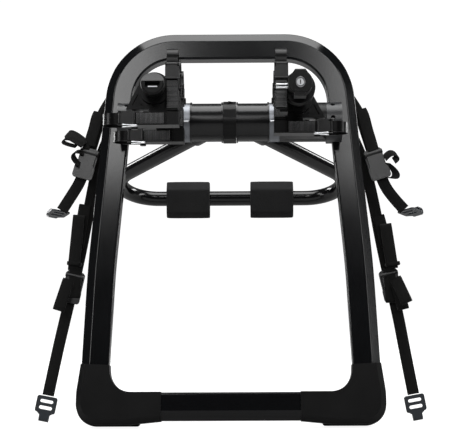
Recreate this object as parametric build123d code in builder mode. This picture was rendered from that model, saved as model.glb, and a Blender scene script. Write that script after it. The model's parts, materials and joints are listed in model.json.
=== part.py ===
from build123d import *
from math import cos, hypot, radians, sin, tan
import os

os.makedirs("parts", exist_ok=True)

# A rack that hangs on a vehicle's tailgate. X runs to the right, Y towards the vehicle and Z up.
# The origin is the point between the two feet, in the middle plane of the leaning arch.
# Every length is in millimetres and every angle in degrees.

# Arch: one flat-sided tube bent over the top, closed by a bottom bar between two moulded elbows
ARCH_LEAN = 8.5
TUBE_WIDTH = 46.0
TUBE_DEPTH = 30.0
TUBE_WALL = 2.5
TUBE_CORNER = 3.5
TUBE_BEVEL_WIDTH = 15.0
TUBE_BEVEL_DEPTH = 12.0
TOP_UP = 635.2
TOP_HALF = 178.4
TOP_BEND = 94.0
KNEE_UP = 260.0
KNEE_HALF = 213.5
KNEE_BEND = 1500.0
SEAM_UP = 100.0
SEAM_HALF = 222.0
BOTTOM_UP = 31.0
BAR_HALF = 114.0
SPIGOT_LENGTH = 32.0
SPIGOT_GAP = 0.15

# Elbows and their rubber feet
ELBOW_SWELL = 8.0
ELBOW_PROUD = 1.0
ELBOW_BOTTOM = 2.0
ELBOW_OUTER_BEND = 34.0
ELBOW_INNER_BEND = 34.0
ELBOW_BEVEL = 9.0
ELBOW_SHOULDER_UP = 55.0
ELBOW_TOE_HALF = 165.0
ELBOW_TOE_BEND = 60.0
FOOT_THICK = 13.0
FOOT_PROUD = 1.6
FOOT_UP = 84.0
FOOT_HEEL = 150.0
FOOT_GROOVE = 5.0
FOOT_GROOVE_DEPTH = 3.0
FOOT_GROOVE_PITCH = 15.0
FOOT_GROOVE_COUNT = 3

# Hub across the front of the legs
HUB_UP = 494.8
HUB_FORWARD = 48.5
HUB_RADIUS = 32.5
CORE_RADIUS = 25.0
CORE_WALL = 3.0
RUN_GAP = 0.06
FIXED_GAP = 0.05
COLLAR_HALF = 10.5
COLLAR_RADIUS = 34.5
COLLAR_FLAT = 33.7
COLLAR_SIDES = 8
POINTER_ANGLE = 110.0
POINTER_SIZE = 5.0
POINTER_HEIGHT = 2.4
SLEEVE_END = 64.7
SLEEVE_RADIUS = 31.6
FLANGE_RADIUS = 33.6
FLANGE_WIDTH = 2.6
SIDE_GAP = 0.5
INDEX_COLLAR_WIDTH = 16.5
INDEX_SLIT = 1.8
HUB_END_WIDTH = 25.5
HUB_END_WALL = 12.0
END_FLANGE_WIDTH = 3.5
END_FLANGE_RADIUS = 33.3
INDEX_HOLE_RADIUS = 4.0
INDEX_HOLE_IN = 15.0
INDEX_HOLE_ANGLES = (121.0, 171.0, 221.0)
SADDLE_HALF = 24.0
LEG_TO_SADDLE = 18.934
END_CHEEK_IN = 5.25
BOLT_RADIUS = 4.0
BOLT_CLEAR = 0.25
BOLT_HEAD = 6.5
BOLT_HEAD_HEIGHT = 5.5
BOLT_SPREAD = 16.0
LEG_TO_BOLT = 13.334
BOLT_BITE = 16.0
WASHER_RADIUS = 8.0
WASHER_THICK = 1.6

# Pad frame: a bent round tube behind the hub, with two foam pads on its bar
PAD_DIP = 23.5
PAD_TUBE_RADIUS = 13.3
PAD_TUBE_WALL = 2.0
PAD_ROOT_HALF = 40.5
PAD_ROOT_OUT = 30.0
PAD_CORNER_HALF = 280.8
PAD_REACH = 297.0
PAD_BEND = 66.5
BOSS_RADIUS = 16.5
BOSS_LENGTH = 19.0
FOAM_WIDTH = 78.0
FOAM_CENTRE = 75.8
FOAM_SLIDE = -3.3
FOAM_DROP = 2.6
FOAM_FRONT = 27.0
FOAM_BACK = 31.0
FOAM_HALF_HEIGHT = 33.4
FOAM_TOP_BEVEL = 15.0
FOAM_BOTTOM_BEVEL = 9.0
FOAM_BACK_BEVEL = 8.0
FOAM_EASE = 4.0

# Arms: a casting that turns on the hub and a tube that points at the viewer
ARM_RISE = 4.2
ARM_IN = 54.0
ARM_RADIUS = 16.0
ARM_WALL = 2.5
ARM_ROOT = 46.0
ARM_TIP = 362.0
LEG_TO_CASTING = 33.534
CASTING_START = 8.0
CASTING_NOSE = 122.0
CASTING_NOSE_RADIUS = 21.5
SHOULDER_HIGH = 30.5
SHOULDER_LOW = 8.0
SHOULDER_RUN = 20.0
NOSE_OUT = 23.0
NOSE_HIGH = 22.5
NOSE_SHOULDER = 11.0
NOTCH_START = 94.0
NOTCH_WALL = 1.2
NOTCH_FOOT = 6.0
PIN_ANGLE = 45.0
PIN_CIRCLE = 28.6
PIN_RADIUS = 2.4
PIN_CLEAR = 0.05
PIN_LENGTH = 34.0
PIN_TRAVEL = 5.0
PIN_KNOB_IN = 12.0
PIN_KNOB_RADIUS = 5.5
PIN_KNOB_HEIGHT = 7.0
PIN_STEM_RADIUS = 2.2
PIN_STEM_CLEAR = 0.4
PIN_KNOB_LIFT = 1.0
PIN_SEAT_RADIUS = 8.0
INDEX_STEP = 17.0
INDEX_COUNT = 6

# Arm ends
CAP_RADIUS = 16.7
CAP_LENGTH = 29.0
CAP_PLUG = 20.0
CAP_ROUND = 2.5
CAP_BEVEL_RUN = 17.0
CAP_BEVEL_DROP = 14.0
MOUTH_HALF = 10.5
MOUTH_TOP = 2.0
MOUTH_BOTTOM = 6.5
MOUTH_DEPTH = 11.0
OPENER_THICK = 1.5
OPENER_HALF = 6.5
OPENER_DEPTH = 8.0
OPENER_SINK = 4.0
LOCK_RADIUS = 17.4
LOCK_LENGTH = 30.0
LOCK_CHIN = 19.5
LOCK_BROW = 18.8
LOCK_BROW_HALF = 7.2
LOCK_RISE = 0.0
LOCK_RING_HALF = 8.6
LOCK_RING_DROP = 19.0
LOCK_RING_PROUD = 2.0
LOCK_RING_WALL = 1.8
LOCK_CORE_RADIUS = 5.2
LOCK_CORE_LENGTH = 16.0
LOCK_CLEAR = 0.04
LOCK_SINK = 0.4
KEYWAY_WIDTH = 1.8
KEYWAY_HEIGHT = 6.4
KEYWAY_DEPTH = 9.0

# Cradles: three on each arm, each with a ladder strap over its cup
STATIONS = (150.0, 240.0, 330.0)
RING_RADIUS = 23.0
RING_HALF = 14.0
TOWER_OUT = 26.0
TOWER_HALF = 9.0
TOWER_THICK = 17.2
TOWER_FOOT = 36.0
NECK_STEP = 7.0
NECK_TOP = 5.5
NECK_SWAY = 32.0
CUP_CENTRE = 38.5
CUP_RADIUS = 15.5
HORN_DROP = 4.5
STRAP_INNER = 17.5
STRAP_THICK = 3.0
STRAP_HALF = 8.0
TAIL_END = 33.0
RIB_COUNT = 11
RIB_PITCH = 3.6
RIB_WIDTH = 1.8
RIB_HEIGHT = 1.2
RIB_START = 8.0
EYE_DOWN = 24.5
EYE_RADIUS = 4.5
EYE_PIN_RADIUS = 2.0
EYE_CLEAR = 0.06
EAR_THICK = 2.6
EAR_GAP = 0.3
CHEEK_THICK = 1.8
CHEEK_TOP = 5.5
CHEEK_LENGTH = 18.0
CHEEK_HEIGHT = 3.8
HINGE_RIM = 0.7
AXLE_RADIUS = 1.2
RELIEF_GAP = 0.5
LEVER_HALF = 10.0
LEVER_GAP = 0.5
LEVER_THICK = 3.2
LEVER_LENGTH = 19.0
LEVER_BARREL = 2.3
LEVER_LIP = 3.0
SWAY_DROP = 44.5
SWAY_SHIFT = 16.0
SWAY_INNER_END = 35.0
GUSSET_TOP = 5.0
GUSSET_SHORT = 9.0
GUSSET_LOW = 2.5
GUSSET_HALF = 11.0
GUSSET_RIM = 5.0
GUSSET_SINK = 3.0
WEB_HALF = 10.0
WEB_OUT = 8.0

# Webbing straps with their buckles and hooks, behind the legs
WEB_WIDTH = 19.5
WEB_THICK = 1.8
UPPER_BACK = 24.4
LOWER_BACK = 36.0
UPPER_RUNS = (1, 2)
LOWER_RUNS = (2, 3)
BEND_SHARE = 0.42
BUCKLE_EASE = 1.0
FOLD_SHARE = 0.5
BUCKLE_SHARE = 0.5
ROD_RADIUS = 2.5
ROD_CLEAR = 0.3
ROD_SPAN = 25.0
UPPER_FOLD = 52.0
LOWER_FOLD = 88.0
UPPER_LAYERS = 3
LOWER_LAYERS = 5
FOLD_GAP = 0.8
FOLD_STANDOFF = 0.5
BUCKLE_WIDTH = 31.0
BUCKLE_LENGTH = 42.0
BUCKLE_THICK = 9.0
BUCKLE_SLOT = 2.6
BUCKLE_SLOT_WIDTH = 20.5
BUCKLE_CORNER = 5.0
CAM_WIDTH = 26.0
CAM_LENGTH = 46.0
CAM_THICK = 4.5
CAM_BARREL = 3.6
CAM_GAP = 0.4
CAM_AXLE = 1.5
CAM_HINGE = (13.0, 8.6)
CAM_THUMB_SHARE = 0.75
HOOK_WIDTH = 34.0
HOOK_PLATE = 28.0
HOOK_CURL = 5.0
HOOK_LIP = 9.0
CURL_SIDE = -1
HOOK_TONGUE_WIDTH = 16.0
HOOK_THICK = 2.4
HOOK_NECK = 8.0
HOOK_BAR = 6.0
HOOK_SLOT_WIDTH = 22.0
HOOK_SLOT_ONE = 5.2
HOOK_BRIDGE = 5.4
HOOK_SLOT_TWO = 5.6
WRAP_CLEAR = 0.4
UPPER_HOOK_TILT = 80.0

OVERRUN = 2.0

# Routes of the straps across the arch plane, from the rod behind the leg to the hook
UPPER_LEFT_ROUTE = [
    (-176.0, 588.0), (-216.0, 538.0), (-233.0, 478.0), (-251.0, 415.0), (-267.0, 388.0), (-284.0, 361.0),
]
UPPER_RIGHT_ROUTE = [
    (176.0, 588.0), (217.0, 537.0), (234.0, 478.0), (256.0, 408.0), (272.0, 382.0), (292.0, 360.0),
]
LOWER_LEFT_ROUTE = [
    (-187.0, 530.0), (-221.0, 466.0), (-236.0, 386.0), (-253.0, 286.0), (-275.0, 190.0),
    (-291.0, 118.0), (-304.0, 52.0),
]
LOWER_RIGHT_ROUTE = [
    (187.0, 530.0), (221.0, 466.0), (240.0, 386.0), (256.0, 288.0), (278.0, 190.0),
    (290.0, 118.0), (302.0, 52.0),
]

# Directions of the leaning arch, and the axis of the hub
LEAN_SIN = sin(radians(ARCH_LEAN))
LEAN_COS = cos(radians(ARCH_LEAN))
ARCH_UP = Vector(0, LEAN_SIN, LEAN_COS)
ARCH_FRONT = Vector(0, -LEAN_COS, LEAN_SIN)
HUB_CENTRE = ARCH_UP * HUB_UP + ARCH_FRONT * HUB_FORWARD
HUB_Y, HUB_Z = HUB_CENTRE.Y, HUB_CENTRE.Z
SIDES = ((-1, "left"), (1, "right"))
LEG_SLOPE = (KNEE_HALF - TOP_HALF) / (TOP_UP - KNEE_UP)
LEG_AT_HUB = KNEE_HALF - (HUB_UP - KNEE_UP) * LEG_SLOPE

# The hub's ends, bolts and arms keep their places from the leg, wherever the hub crosses it
CASTING_END = LEG_AT_HUB - LEG_TO_CASTING
BOLT_HALF = LEG_AT_HUB - LEG_TO_BOLT
SADDLE_INNER = LEG_AT_HUB - LEG_TO_SADDLE
ARM_X = CASTING_END - ARM_IN
PIN_KNOB_X = CASTING_END - PIN_KNOB_IN
CORE_HALF = CASTING_END + SIDE_GAP + HUB_END_WIDTH - HUB_END_WALL - SIDE_GAP / 5


def arch_plane(forward=0.0):
    """Plane of the arch: across is X, up runs along the legs, forward faces the viewer."""
    return Plane(origin=ARCH_FRONT * forward, x_dir=(1, 0, 0), z_dir=ARCH_FRONT)


def arch_point(across, up, forward=0.0):
    return Vector(across, 0, 0) + ARCH_UP * up + ARCH_FRONT * forward


def hub_plane(across):
    """Plane square to the hub: x runs to the vehicle and y up, from the hub's axis."""
    return Plane(origin=(across, HUB_Y, HUB_Z), x_dir=(0, 1, 0), z_dir=(1, 0, 0))


def pad_plane(lift=0.0):
    """Plane of the bent pad tube: x across the vehicle, y away from the hub's axis."""
    dip = radians(PAD_DIP)
    normal = Vector(0, sin(dip), cos(dip))
    return Plane(origin=HUB_CENTRE + normal * lift, x_dir=(1, 0, 0), z_dir=normal)


def tube_profile(place, shrink=0.0):
    """Section of the arch tube; x is the outer side, where the front corner is bevelled."""
    half, deep = TUBE_WIDTH / 2, TUBE_DEPTH / 2
    with BuildSketch(place) as profile:
        with BuildLine():
            Polyline(
                (-half, -deep), (half, -deep), (half, deep - TUBE_BEVEL_DEPTH),
                (half - TUBE_BEVEL_WIDTH, deep), (-half, deep), close=True,
            )
        make_face()
        fillet(profile.vertices(), TUBE_CORNER)
        if shrink:
            offset(amount=-shrink, mode=Mode.REPLACE)
    return profile.sketch


def section_plane(point, along):
    return Plane(origin=point, x_dir=ARCH_FRONT.cross(along), z_dir=along)


SEAM_RUN = hypot(SEAM_HALF - KNEE_HALF, KNEE_UP - SEAM_UP)
SEAM_ALONG = ((KNEE_HALF - SEAM_HALF) / SEAM_RUN, (KNEE_UP - SEAM_UP) / SEAM_RUN)
ARCH_ROUTE = [
    (-SEAM_HALF, SEAM_UP), (-KNEE_HALF, KNEE_UP), (-TOP_HALF, TOP_UP),
    (TOP_HALF, TOP_UP), (KNEE_HALF, KNEE_UP), (SEAM_HALF, SEAM_UP),
]

# The arch tube, with clearance holes for the hub's bolts
with BuildPart() as arch_tube:
    with BuildLine(arch_plane()) as arch_path:
        FilletPolyline(*ARCH_ROUTE, radius=[KNEE_BEND, TOP_BEND, TOP_BEND, KNEE_BEND])
    arch_start = section_plane(arch_path.line @ 0, arch_path.line % 0)
    sweep(tube_profile(arch_start), path=arch_path.line)
    sweep(tube_profile(arch_start, TUBE_WALL), path=arch_path.line, mode=Mode.SUBTRACT)
    for side, name in SIDES:
        for spread in (-BOLT_SPREAD, BOLT_SPREAD):
            with BuildSketch(arch_plane(-TUBE_DEPTH)) as bolt_hole:
                with Locations((side * BOLT_HALF, HUB_UP + spread)):
                    Circle(BOLT_RADIUS + BOLT_CLEAR)
            extrude(amount=TUBE_DEPTH * 2, mode=Mode.SUBTRACT)
arch_tube.part.label = "arch_tube"
export_step(arch_tube.part, "parts/arch_tube.step")

# The bottom bar of the same tube
with BuildPart() as bottom_bar:
    bar_start = section_plane(arch_point(BAR_HALF, BOTTOM_UP), Vector(-1, 0, 0))
    extrude(tube_profile(bar_start), amount=BAR_HALF * 2)
    extrude(tube_profile(bar_start, TUBE_WALL), amount=BAR_HALF * 2, mode=Mode.SUBTRACT)
bottom_bar.part.label = "bottom_bar"
export_step(bottom_bar.part, "parts/bottom_bar.step")

# Moulded elbows, each plugged into the leg and into the bottom bar
for side, name in SIDES:
    seam_half = TUBE_WIDTH / 2 + ELBOW_PROUD
    outer_seam = (SEAM_HALF + SEAM_ALONG[1] * seam_half, SEAM_UP - SEAM_ALONG[0] * seam_half)
    inner_seam = (SEAM_HALF - SEAM_ALONG[1] * seam_half, SEAM_UP + SEAM_ALONG[0] * seam_half)
    heel = SEAM_HALF + TUBE_WIDTH / 2 + ELBOW_SWELL
    bar_top = BOTTOM_UP + seam_half
    elbow_points = [
        outer_seam, (heel, ELBOW_SHOULDER_UP), (heel + ELBOW_PROUD, ELBOW_BOTTOM),
        (ELBOW_TOE_HALF, ELBOW_BOTTOM), (BAR_HALF, BOTTOM_UP - seam_half), (BAR_HALF, bar_top),
        (inner_seam[0] - ELBOW_PROUD * 2, bar_top), inner_seam,
    ]
    elbow_bends = [0, ELBOW_TOE_BEND, ELBOW_OUTER_BEND, ELBOW_TOE_BEND, 0, 0, ELBOW_INNER_BEND, 0]
    with BuildPart() as elbow:
        with BuildSketch(arch_plane(-TUBE_DEPTH / 2)) as elbow_outline:
            with BuildLine():
                FilletPolyline(*[(side * x, y) for x, y in elbow_points], radius=elbow_bends, close=True)
            make_face()
        extrude(amount=TUBE_DEPTH + ELBOW_PROUD)
        front = elbow.faces().sort_by(lambda face: face.center().dot(ARCH_FRONT))[-1]
        rim = [
            edge for edge in front.edges()
            if abs(edge.center().X) > SEAM_HALF + TUBE_WIDTH / 3
            or edge.center().dot(ARCH_UP) < BOTTOM_UP / 2
        ]
        chamfer(rim, ELBOW_BEVEL)
        leg_seam = arch_point(side * SEAM_HALF, SEAM_UP)
        leg_way = Vector(side * SEAM_ALONG[0], 0, 0) + ARCH_UP * SEAM_ALONG[1]
        plug = TUBE_WALL + SPIGOT_GAP
        leg_profile = tube_profile(section_plane(leg_seam, leg_way * -side), plug)
        extrude(leg_profile, amount=-side * SPIGOT_LENGTH)
        bar_seam = section_plane(arch_point(side * BAR_HALF, BOTTOM_UP), Vector(-1, 0, 0))
        bar_profile = tube_profile(bar_seam, plug)
        extrude(bar_profile, amount=side * SPIGOT_LENGTH)
    elbow.part.label = f"elbow_{name}"
    export_step(elbow.part, f"parts/elbow_{name}.step")

# Two rubber feet behind the elbows, grooved where they rest on the vehicle
with BuildPart() as rubber_feet:
    for side, name in SIDES:
        foot_half = SEAM_HALF + TUBE_WIDTH / 2 + ELBOW_SWELL + FOOT_PROUD
        foot_points = [
            (SEAM_HALF + TUBE_WIDTH / 2, FOOT_UP), (foot_half, ELBOW_SHOULDER_UP),
            (foot_half + ELBOW_PROUD, 0), (FOOT_HEEL, 0), (FOOT_HEEL, BOTTOM_UP + TUBE_WIDTH / 3),
            (SEAM_HALF - TUBE_WIDTH / 3, BOTTOM_UP + TUBE_WIDTH / 3), (SEAM_HALF - TUBE_WIDTH / 3, FOOT_UP),
        ]
        foot_bends = [
            FOOT_GROOVE, ELBOW_TOE_BEND, ELBOW_OUTER_BEND, FOOT_GROOVE, FOOT_GROOVE,
            FOOT_THICK, FOOT_GROOVE,
        ]
        with BuildSketch(arch_plane(-TUBE_DEPTH / 2)) as foot_outline:
            with BuildLine():
                FilletPolyline(*[(side * x, y) for x, y in foot_points], radius=foot_bends, close=True)
            make_face()
        extrude(amount=-FOOT_THICK)
        with BuildSketch(arch_plane(-TUBE_DEPTH / 2 - FOOT_THICK)) as foot_grooves:
            for step in range(FOOT_GROOVE_COUNT):
                with Locations((side * SEAM_HALF, FOOT_GROOVE_PITCH * (step + 1))):
                    Rectangle(TUBE_WIDTH * 4, FOOT_GROOVE)
        extrude(amount=FOOT_GROOVE_DEPTH, mode=Mode.SUBTRACT)
rubber_feet.part.label = "rubber_feet"
export_step(rubber_feet.part, "parts/rubber_feet.step")


def ring_profile(place, outer, bore=0.0):
    with BuildSketch(place) as profile:
        Circle(outer)
        if bore:
            Circle(bore, mode=Mode.SUBTRACT)
    return profile.sketch


# The steel tube that everything on the hub is threaded on
with BuildPart() as hub_core:
    core_profile = ring_profile(hub_plane(-CORE_HALF), CORE_RADIUS, CORE_RADIUS - CORE_WALL)
    extrude(core_profile, amount=CORE_HALF * 2)
hub_core.part.label = "hub_core"
export_step(hub_core.part, "parts/hub_core.step")

END_INNER = CASTING_END + SIDE_GAP
END_OUTER = END_INNER + HUB_END_WIDTH
INDEX_CENTRES = [
    (PIN_CIRCLE * cos(radians(PIN_ANGLE + INDEX_STEP * step)),
     PIN_CIRCLE * sin(radians(PIN_ANGLE + INDEX_STEP * step)))
    for step in range(INDEX_COUNT)
]

# Castings at the hub's ends, saddled on the legs, with holes that set the arms' angle
for side, name in SIDES:
    with BuildPart() as hub_end:
        extrude(ring_profile(hub_plane(side * END_INNER), HUB_RADIUS), amount=side * HUB_END_WIDTH)
        flange = ring_profile(hub_plane(side * END_OUTER), END_FLANGE_RADIUS)
        extrude(flange, amount=-side * END_FLANGE_WIDTH)
        with BuildSketch(arch_plane(TUBE_DEPTH / 2)) as saddle:
            with Locations((side * (SADDLE_INNER + END_OUTER) / 2, HUB_UP)):
                Rectangle(END_OUTER - SADDLE_INNER, SADDLE_HALF * 2)
        extrude(amount=HUB_FORWARD - TUBE_DEPTH / 2)
        cheek_face = LEG_AT_HUB - TUBE_WIDTH / 2 - OVERRUN / 4
        lean = SADDLE_HALF * LEG_SLOPE
        with BuildSketch(arch_plane(-TUBE_DEPTH / 3)) as cheek:
            with BuildLine():
                Polyline(
                    (side * (cheek_face + lean), HUB_UP - SADDLE_HALF),
                    (side * (cheek_face - lean), HUB_UP + SADDLE_HALF),
                    (side * (cheek_face - lean - END_CHEEK_IN), HUB_UP + SADDLE_HALF),
                    (side * (cheek_face - lean - END_CHEEK_IN), HUB_UP - SADDLE_HALF),
                    close=True,
                )
            make_face()
        extrude(amount=HUB_FORWARD + TUBE_DEPTH / 3)
        bore = ring_profile(hub_plane(side * END_INNER), CORE_RADIUS + FIXED_GAP)
        extrude(bore, amount=side * (HUB_END_WIDTH - HUB_END_WALL), mode=Mode.SUBTRACT)
        for angle in INDEX_HOLE_ANGLES:
            way = Vector(0, cos(radians(angle)), sin(radians(angle)))
            hole_x = side * (END_OUTER - INDEX_HOLE_IN)
            hole = ring_profile(Plane(origin=(hole_x, HUB_Y, HUB_Z), z_dir=way), INDEX_HOLE_RADIUS)
            extrude(hole, amount=HUB_RADIUS + OVERRUN, mode=Mode.SUBTRACT)
        with BuildSketch(hub_plane(side * END_INNER)) as index_sockets:
            with Locations(*INDEX_CENTRES):
                Circle(PIN_RADIUS + PIN_CLEAR)
        extrude(amount=side * (PIN_TRAVEL + OVERRUN / 2), mode=Mode.SUBTRACT)
        with BuildSketch(arch_plane(TUBE_DEPTH / 2)) as bolt_sockets:
            with Locations(*[(side * BOLT_HALF, HUB_UP + rise) for rise in (-BOLT_SPREAD, BOLT_SPREAD)]):
                Circle(BOLT_RADIUS + FIXED_GAP)
        extrude(amount=BOLT_BITE + OVERRUN / 2, mode=Mode.SUBTRACT)
    hub_end.part.label = f"hub_end_{name}"
    export_step(hub_end.part, f"parts/hub_end_{name}.step")

# Four bolts with washers, put in from behind the legs
with BuildPart() as hub_bolts:
    spots = [(side * BOLT_HALF, HUB_UP + rise) for side in (-1, 1) for rise in (-BOLT_SPREAD, BOLT_SPREAD)]
    with BuildSketch(arch_plane(-TUBE_DEPTH / 2)) as bolt_washers:
        with Locations(*spots):
            Circle(WASHER_RADIUS)
    extrude(amount=-WASHER_THICK)
    with BuildSketch(arch_plane(-TUBE_DEPTH / 2 - WASHER_THICK)) as bolt_heads:
        with Locations(*spots):
            RegularPolygon(BOLT_HEAD, COLLAR_SIDES - 2)
    extrude(amount=-BOLT_HEAD_HEIGHT)
    with BuildSketch(arch_plane(-TUBE_DEPTH / 2 - WASHER_THICK)) as bolt_shafts:
        with Locations(*spots):
            Circle(BOLT_RADIUS)
    extrude(amount=WASHER_THICK + TUBE_DEPTH + BOLT_BITE)
hub_bolts.part.label = "hub_bolts"
export_step(hub_bolts.part, "parts/hub_bolts.step")

# The fixed band in the middle, with a pointer on its front
with BuildPart() as centre_collar:
    with BuildSketch(hub_plane(-COLLAR_HALF)) as collar_profile:
        Circle(COLLAR_RADIUS)
        RegularPolygon(COLLAR_FLAT, COLLAR_SIDES, major_radius=False, mode=Mode.INTERSECT)
        Circle(CORE_RADIUS + FIXED_GAP, mode=Mode.SUBTRACT)
    extrude(amount=COLLAR_HALF * 2)
    pointer_way = Vector(0, cos(radians(POINTER_ANGLE)), sin(radians(POINTER_ANGLE)))
    pointer_plane = Plane(origin=HUB_CENTRE + pointer_way * (COLLAR_FLAT - POINTER_HEIGHT), x_dir=(1, 0, 0),
                          z_dir=pointer_way)
    with BuildSketch(pointer_plane) as pointer:
        RegularPolygon(POINTER_SIZE, 3, rotation=-ARCH_LEAN)
    extrude(amount=POINTER_HEIGHT + OVERRUN)
centre_collar.part.label = "centre_collar"
export_step(centre_collar.part, "parts/centre_collar.step")

COLLAR_START = SLEEVE_END + SIDE_GAP
CASTING_INNER = COLLAR_START + INDEX_COLLAR_WIDTH + SIDE_GAP

# Two light metal collars, each split at the front
with BuildPart() as index_collars:
    for side, name in SIDES:
        collar = ring_profile(hub_plane(side * COLLAR_START), HUB_RADIUS, CORE_RADIUS + FIXED_GAP)
        extrude(collar, amount=side * INDEX_COLLAR_WIDTH)
        slit_x = side * (COLLAR_START + INDEX_COLLAR_WIDTH / 2)
        with BuildSketch(Plane(origin=(slit_x, HUB_Y, HUB_Z), x_dir=(1, 0, 0), z_dir=(0, -1, 0))) as slit:
            Rectangle(INDEX_COLLAR_WIDTH * 2, INDEX_SLIT)
        extrude(amount=HUB_RADIUS * 2, mode=Mode.SUBTRACT)
index_collars.part.label = "index_collars"
export_step(index_collars.part, "parts/index_collars.step")

PAD_RUN = hypot(PAD_CORNER_HALF - PAD_ROOT_HALF, PAD_REACH - PAD_ROOT_OUT)
PAD_ALONG = ((PAD_CORNER_HALF - PAD_ROOT_HALF) / PAD_RUN, (PAD_REACH - PAD_ROOT_OUT) / PAD_RUN)


def pad_point(across, out):
    return pad_plane().from_local_coords(Vector(across, out, 0))


# Two sleeves that turn on the hub, with sockets for the ends of the pad tube
with BuildPart() as pivot_sleeves:
    for side, name in SIDES:
        sleeve_start = side * (COLLAR_HALF + SIDE_GAP)
        sleeve_width = SLEEVE_END - COLLAR_HALF - SIDE_GAP
        extrude(ring_profile(hub_plane(sleeve_start), SLEEVE_RADIUS), amount=side * sleeve_width)
        for start, way in ((sleeve_start, side), (side * SLEEVE_END, -side)):
            extrude(ring_profile(hub_plane(start), FLANGE_RADIUS), amount=way * FLANGE_WIDTH)
        root = pad_point(side * PAD_ROOT_HALF, PAD_ROOT_OUT)
        along = pad_point(side * PAD_CORNER_HALF, PAD_REACH) - root
        socket = Plane(origin=root, z_dir=along)
        boss = ring_profile(socket.offset(-BOSS_RADIUS), BOSS_RADIUS)
        extrude(boss, amount=BOSS_RADIUS + BOSS_LENGTH + BOSS_RADIUS / 2)
        bored = ring_profile(socket.offset(BOSS_RADIUS / 2), PAD_TUBE_RADIUS + FIXED_GAP)
        extrude(bored, amount=PAD_RUN / 2, mode=Mode.SUBTRACT)
        bore = ring_profile(hub_plane(sleeve_start - side * OVERRUN), CORE_RADIUS + RUN_GAP)
        extrude(bore, amount=side * (sleeve_width + OVERRUN * 2), mode=Mode.SUBTRACT)
pivot_sleeves.part.label = "pivot_sleeves"
export_step(pivot_sleeves.part, "parts/pivot_sleeves.step")

# The pad tube, one bent tube from one sleeve round behind to the other
with BuildPart() as pad_tube:
    inset = (PAD_ALONG[0] * BOSS_RADIUS / 2, PAD_ALONG[1] * BOSS_RADIUS / 2)
    tube_root = (PAD_ROOT_HALF + inset[0], PAD_ROOT_OUT + inset[1])
    with BuildLine(pad_plane()) as pad_path:
        FilletPolyline(
            (-tube_root[0], tube_root[1]), (-PAD_CORNER_HALF, PAD_REACH),
            (PAD_CORNER_HALF, PAD_REACH), (tube_root[0], tube_root[1]), radius=PAD_BEND,
        )
    pad_start = Plane(origin=pad_path.line @ 0, z_dir=pad_path.line % 0)
    sweep(ring_profile(pad_start, PAD_TUBE_RADIUS, PAD_TUBE_RADIUS - PAD_TUBE_WALL), path=pad_path.line)
pad_tube.part.label = "pad_tube"
export_step(pad_tube.part, "parts/pad_tube.step")

BAR_CENTRE = pad_point(0, PAD_REACH)
foam_low, foam_top = -FOAM_HALF_HEIGHT - FOAM_DROP, FOAM_HALF_HEIGHT - FOAM_DROP

# Foam pads on the bar, bevelled along their front edges
for side, name in SIDES:
    pad_face = Plane(
        origin=(FOAM_SLIDE + side * (FOAM_CENTRE - FOAM_WIDTH / 2), BAR_CENTRE.Y, BAR_CENTRE.Z),
        x_dir=(0, 1, 0), z_dir=(1, 0, 0),
    )
    with BuildPart() as foam_pad:
        with BuildSketch(pad_face) as foam_profile:
            with BuildLine():
                Polyline(
                    (-FOAM_FRONT, foam_low + FOAM_BOTTOM_BEVEL), (-FOAM_FRONT + FOAM_BOTTOM_BEVEL, foam_low),
                    (FOAM_BACK - FOAM_BACK_BEVEL, foam_low), (FOAM_BACK, foam_low + FOAM_BACK_BEVEL),
                    (FOAM_BACK, foam_top - FOAM_BACK_BEVEL), (FOAM_BACK - FOAM_BACK_BEVEL, foam_top),
                    (-FOAM_FRONT + FOAM_TOP_BEVEL, foam_top), (-FOAM_FRONT, foam_top - FOAM_TOP_BEVEL),
                    close=True,
                )
            make_face()
            fillet(foam_profile.vertices(), FOAM_EASE)
        extrude(amount=side * FOAM_WIDTH)
        ends = foam_pad.faces().filter_by(Axis.X)
        chamfer(ends.edges(), FOAM_EASE / 2)
        tube_bore = ring_profile(pad_face.offset(-side * OVERRUN), PAD_TUBE_RADIUS + FIXED_GAP)
        extrude(tube_bore, amount=side * (FOAM_WIDTH + OVERRUN * 2), mode=Mode.SUBTRACT)
    foam_pad.part.label = f"foam_pad_{name}"
    export_step(foam_pad.part, f"parts/foam_pad_{name}.step")

RISE_SIN = sin(radians(ARM_RISE))
RISE_COS = cos(radians(ARM_RISE))
ARM_WAY = Vector(0, -RISE_COS, RISE_SIN)
ARM_UP = Vector(0, RISE_SIN, RISE_COS)


def arm_plane(along, across=0.0):
    """Plane square to the arms: x across the rack, y up, at a distance along them from the hub."""
    return Plane(origin=HUB_CENTRE + ARM_WAY * along + Vector(across, 0, 0), x_dir=(1, 0, 0), z_dir=ARM_WAY)


def arm_side_plane(across):
    """Plane along an arm, seen from its side: x along the arm from the hub and y up."""
    return Plane(origin=HUB_CENTRE + Vector(across, 0, 0), x_dir=ARM_WAY, z_dir=(-1, 0, 0))


PIN_WAY = Vector(0, cos(radians(PIN_ANGLE)), sin(radians(PIN_ANGLE)))

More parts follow.
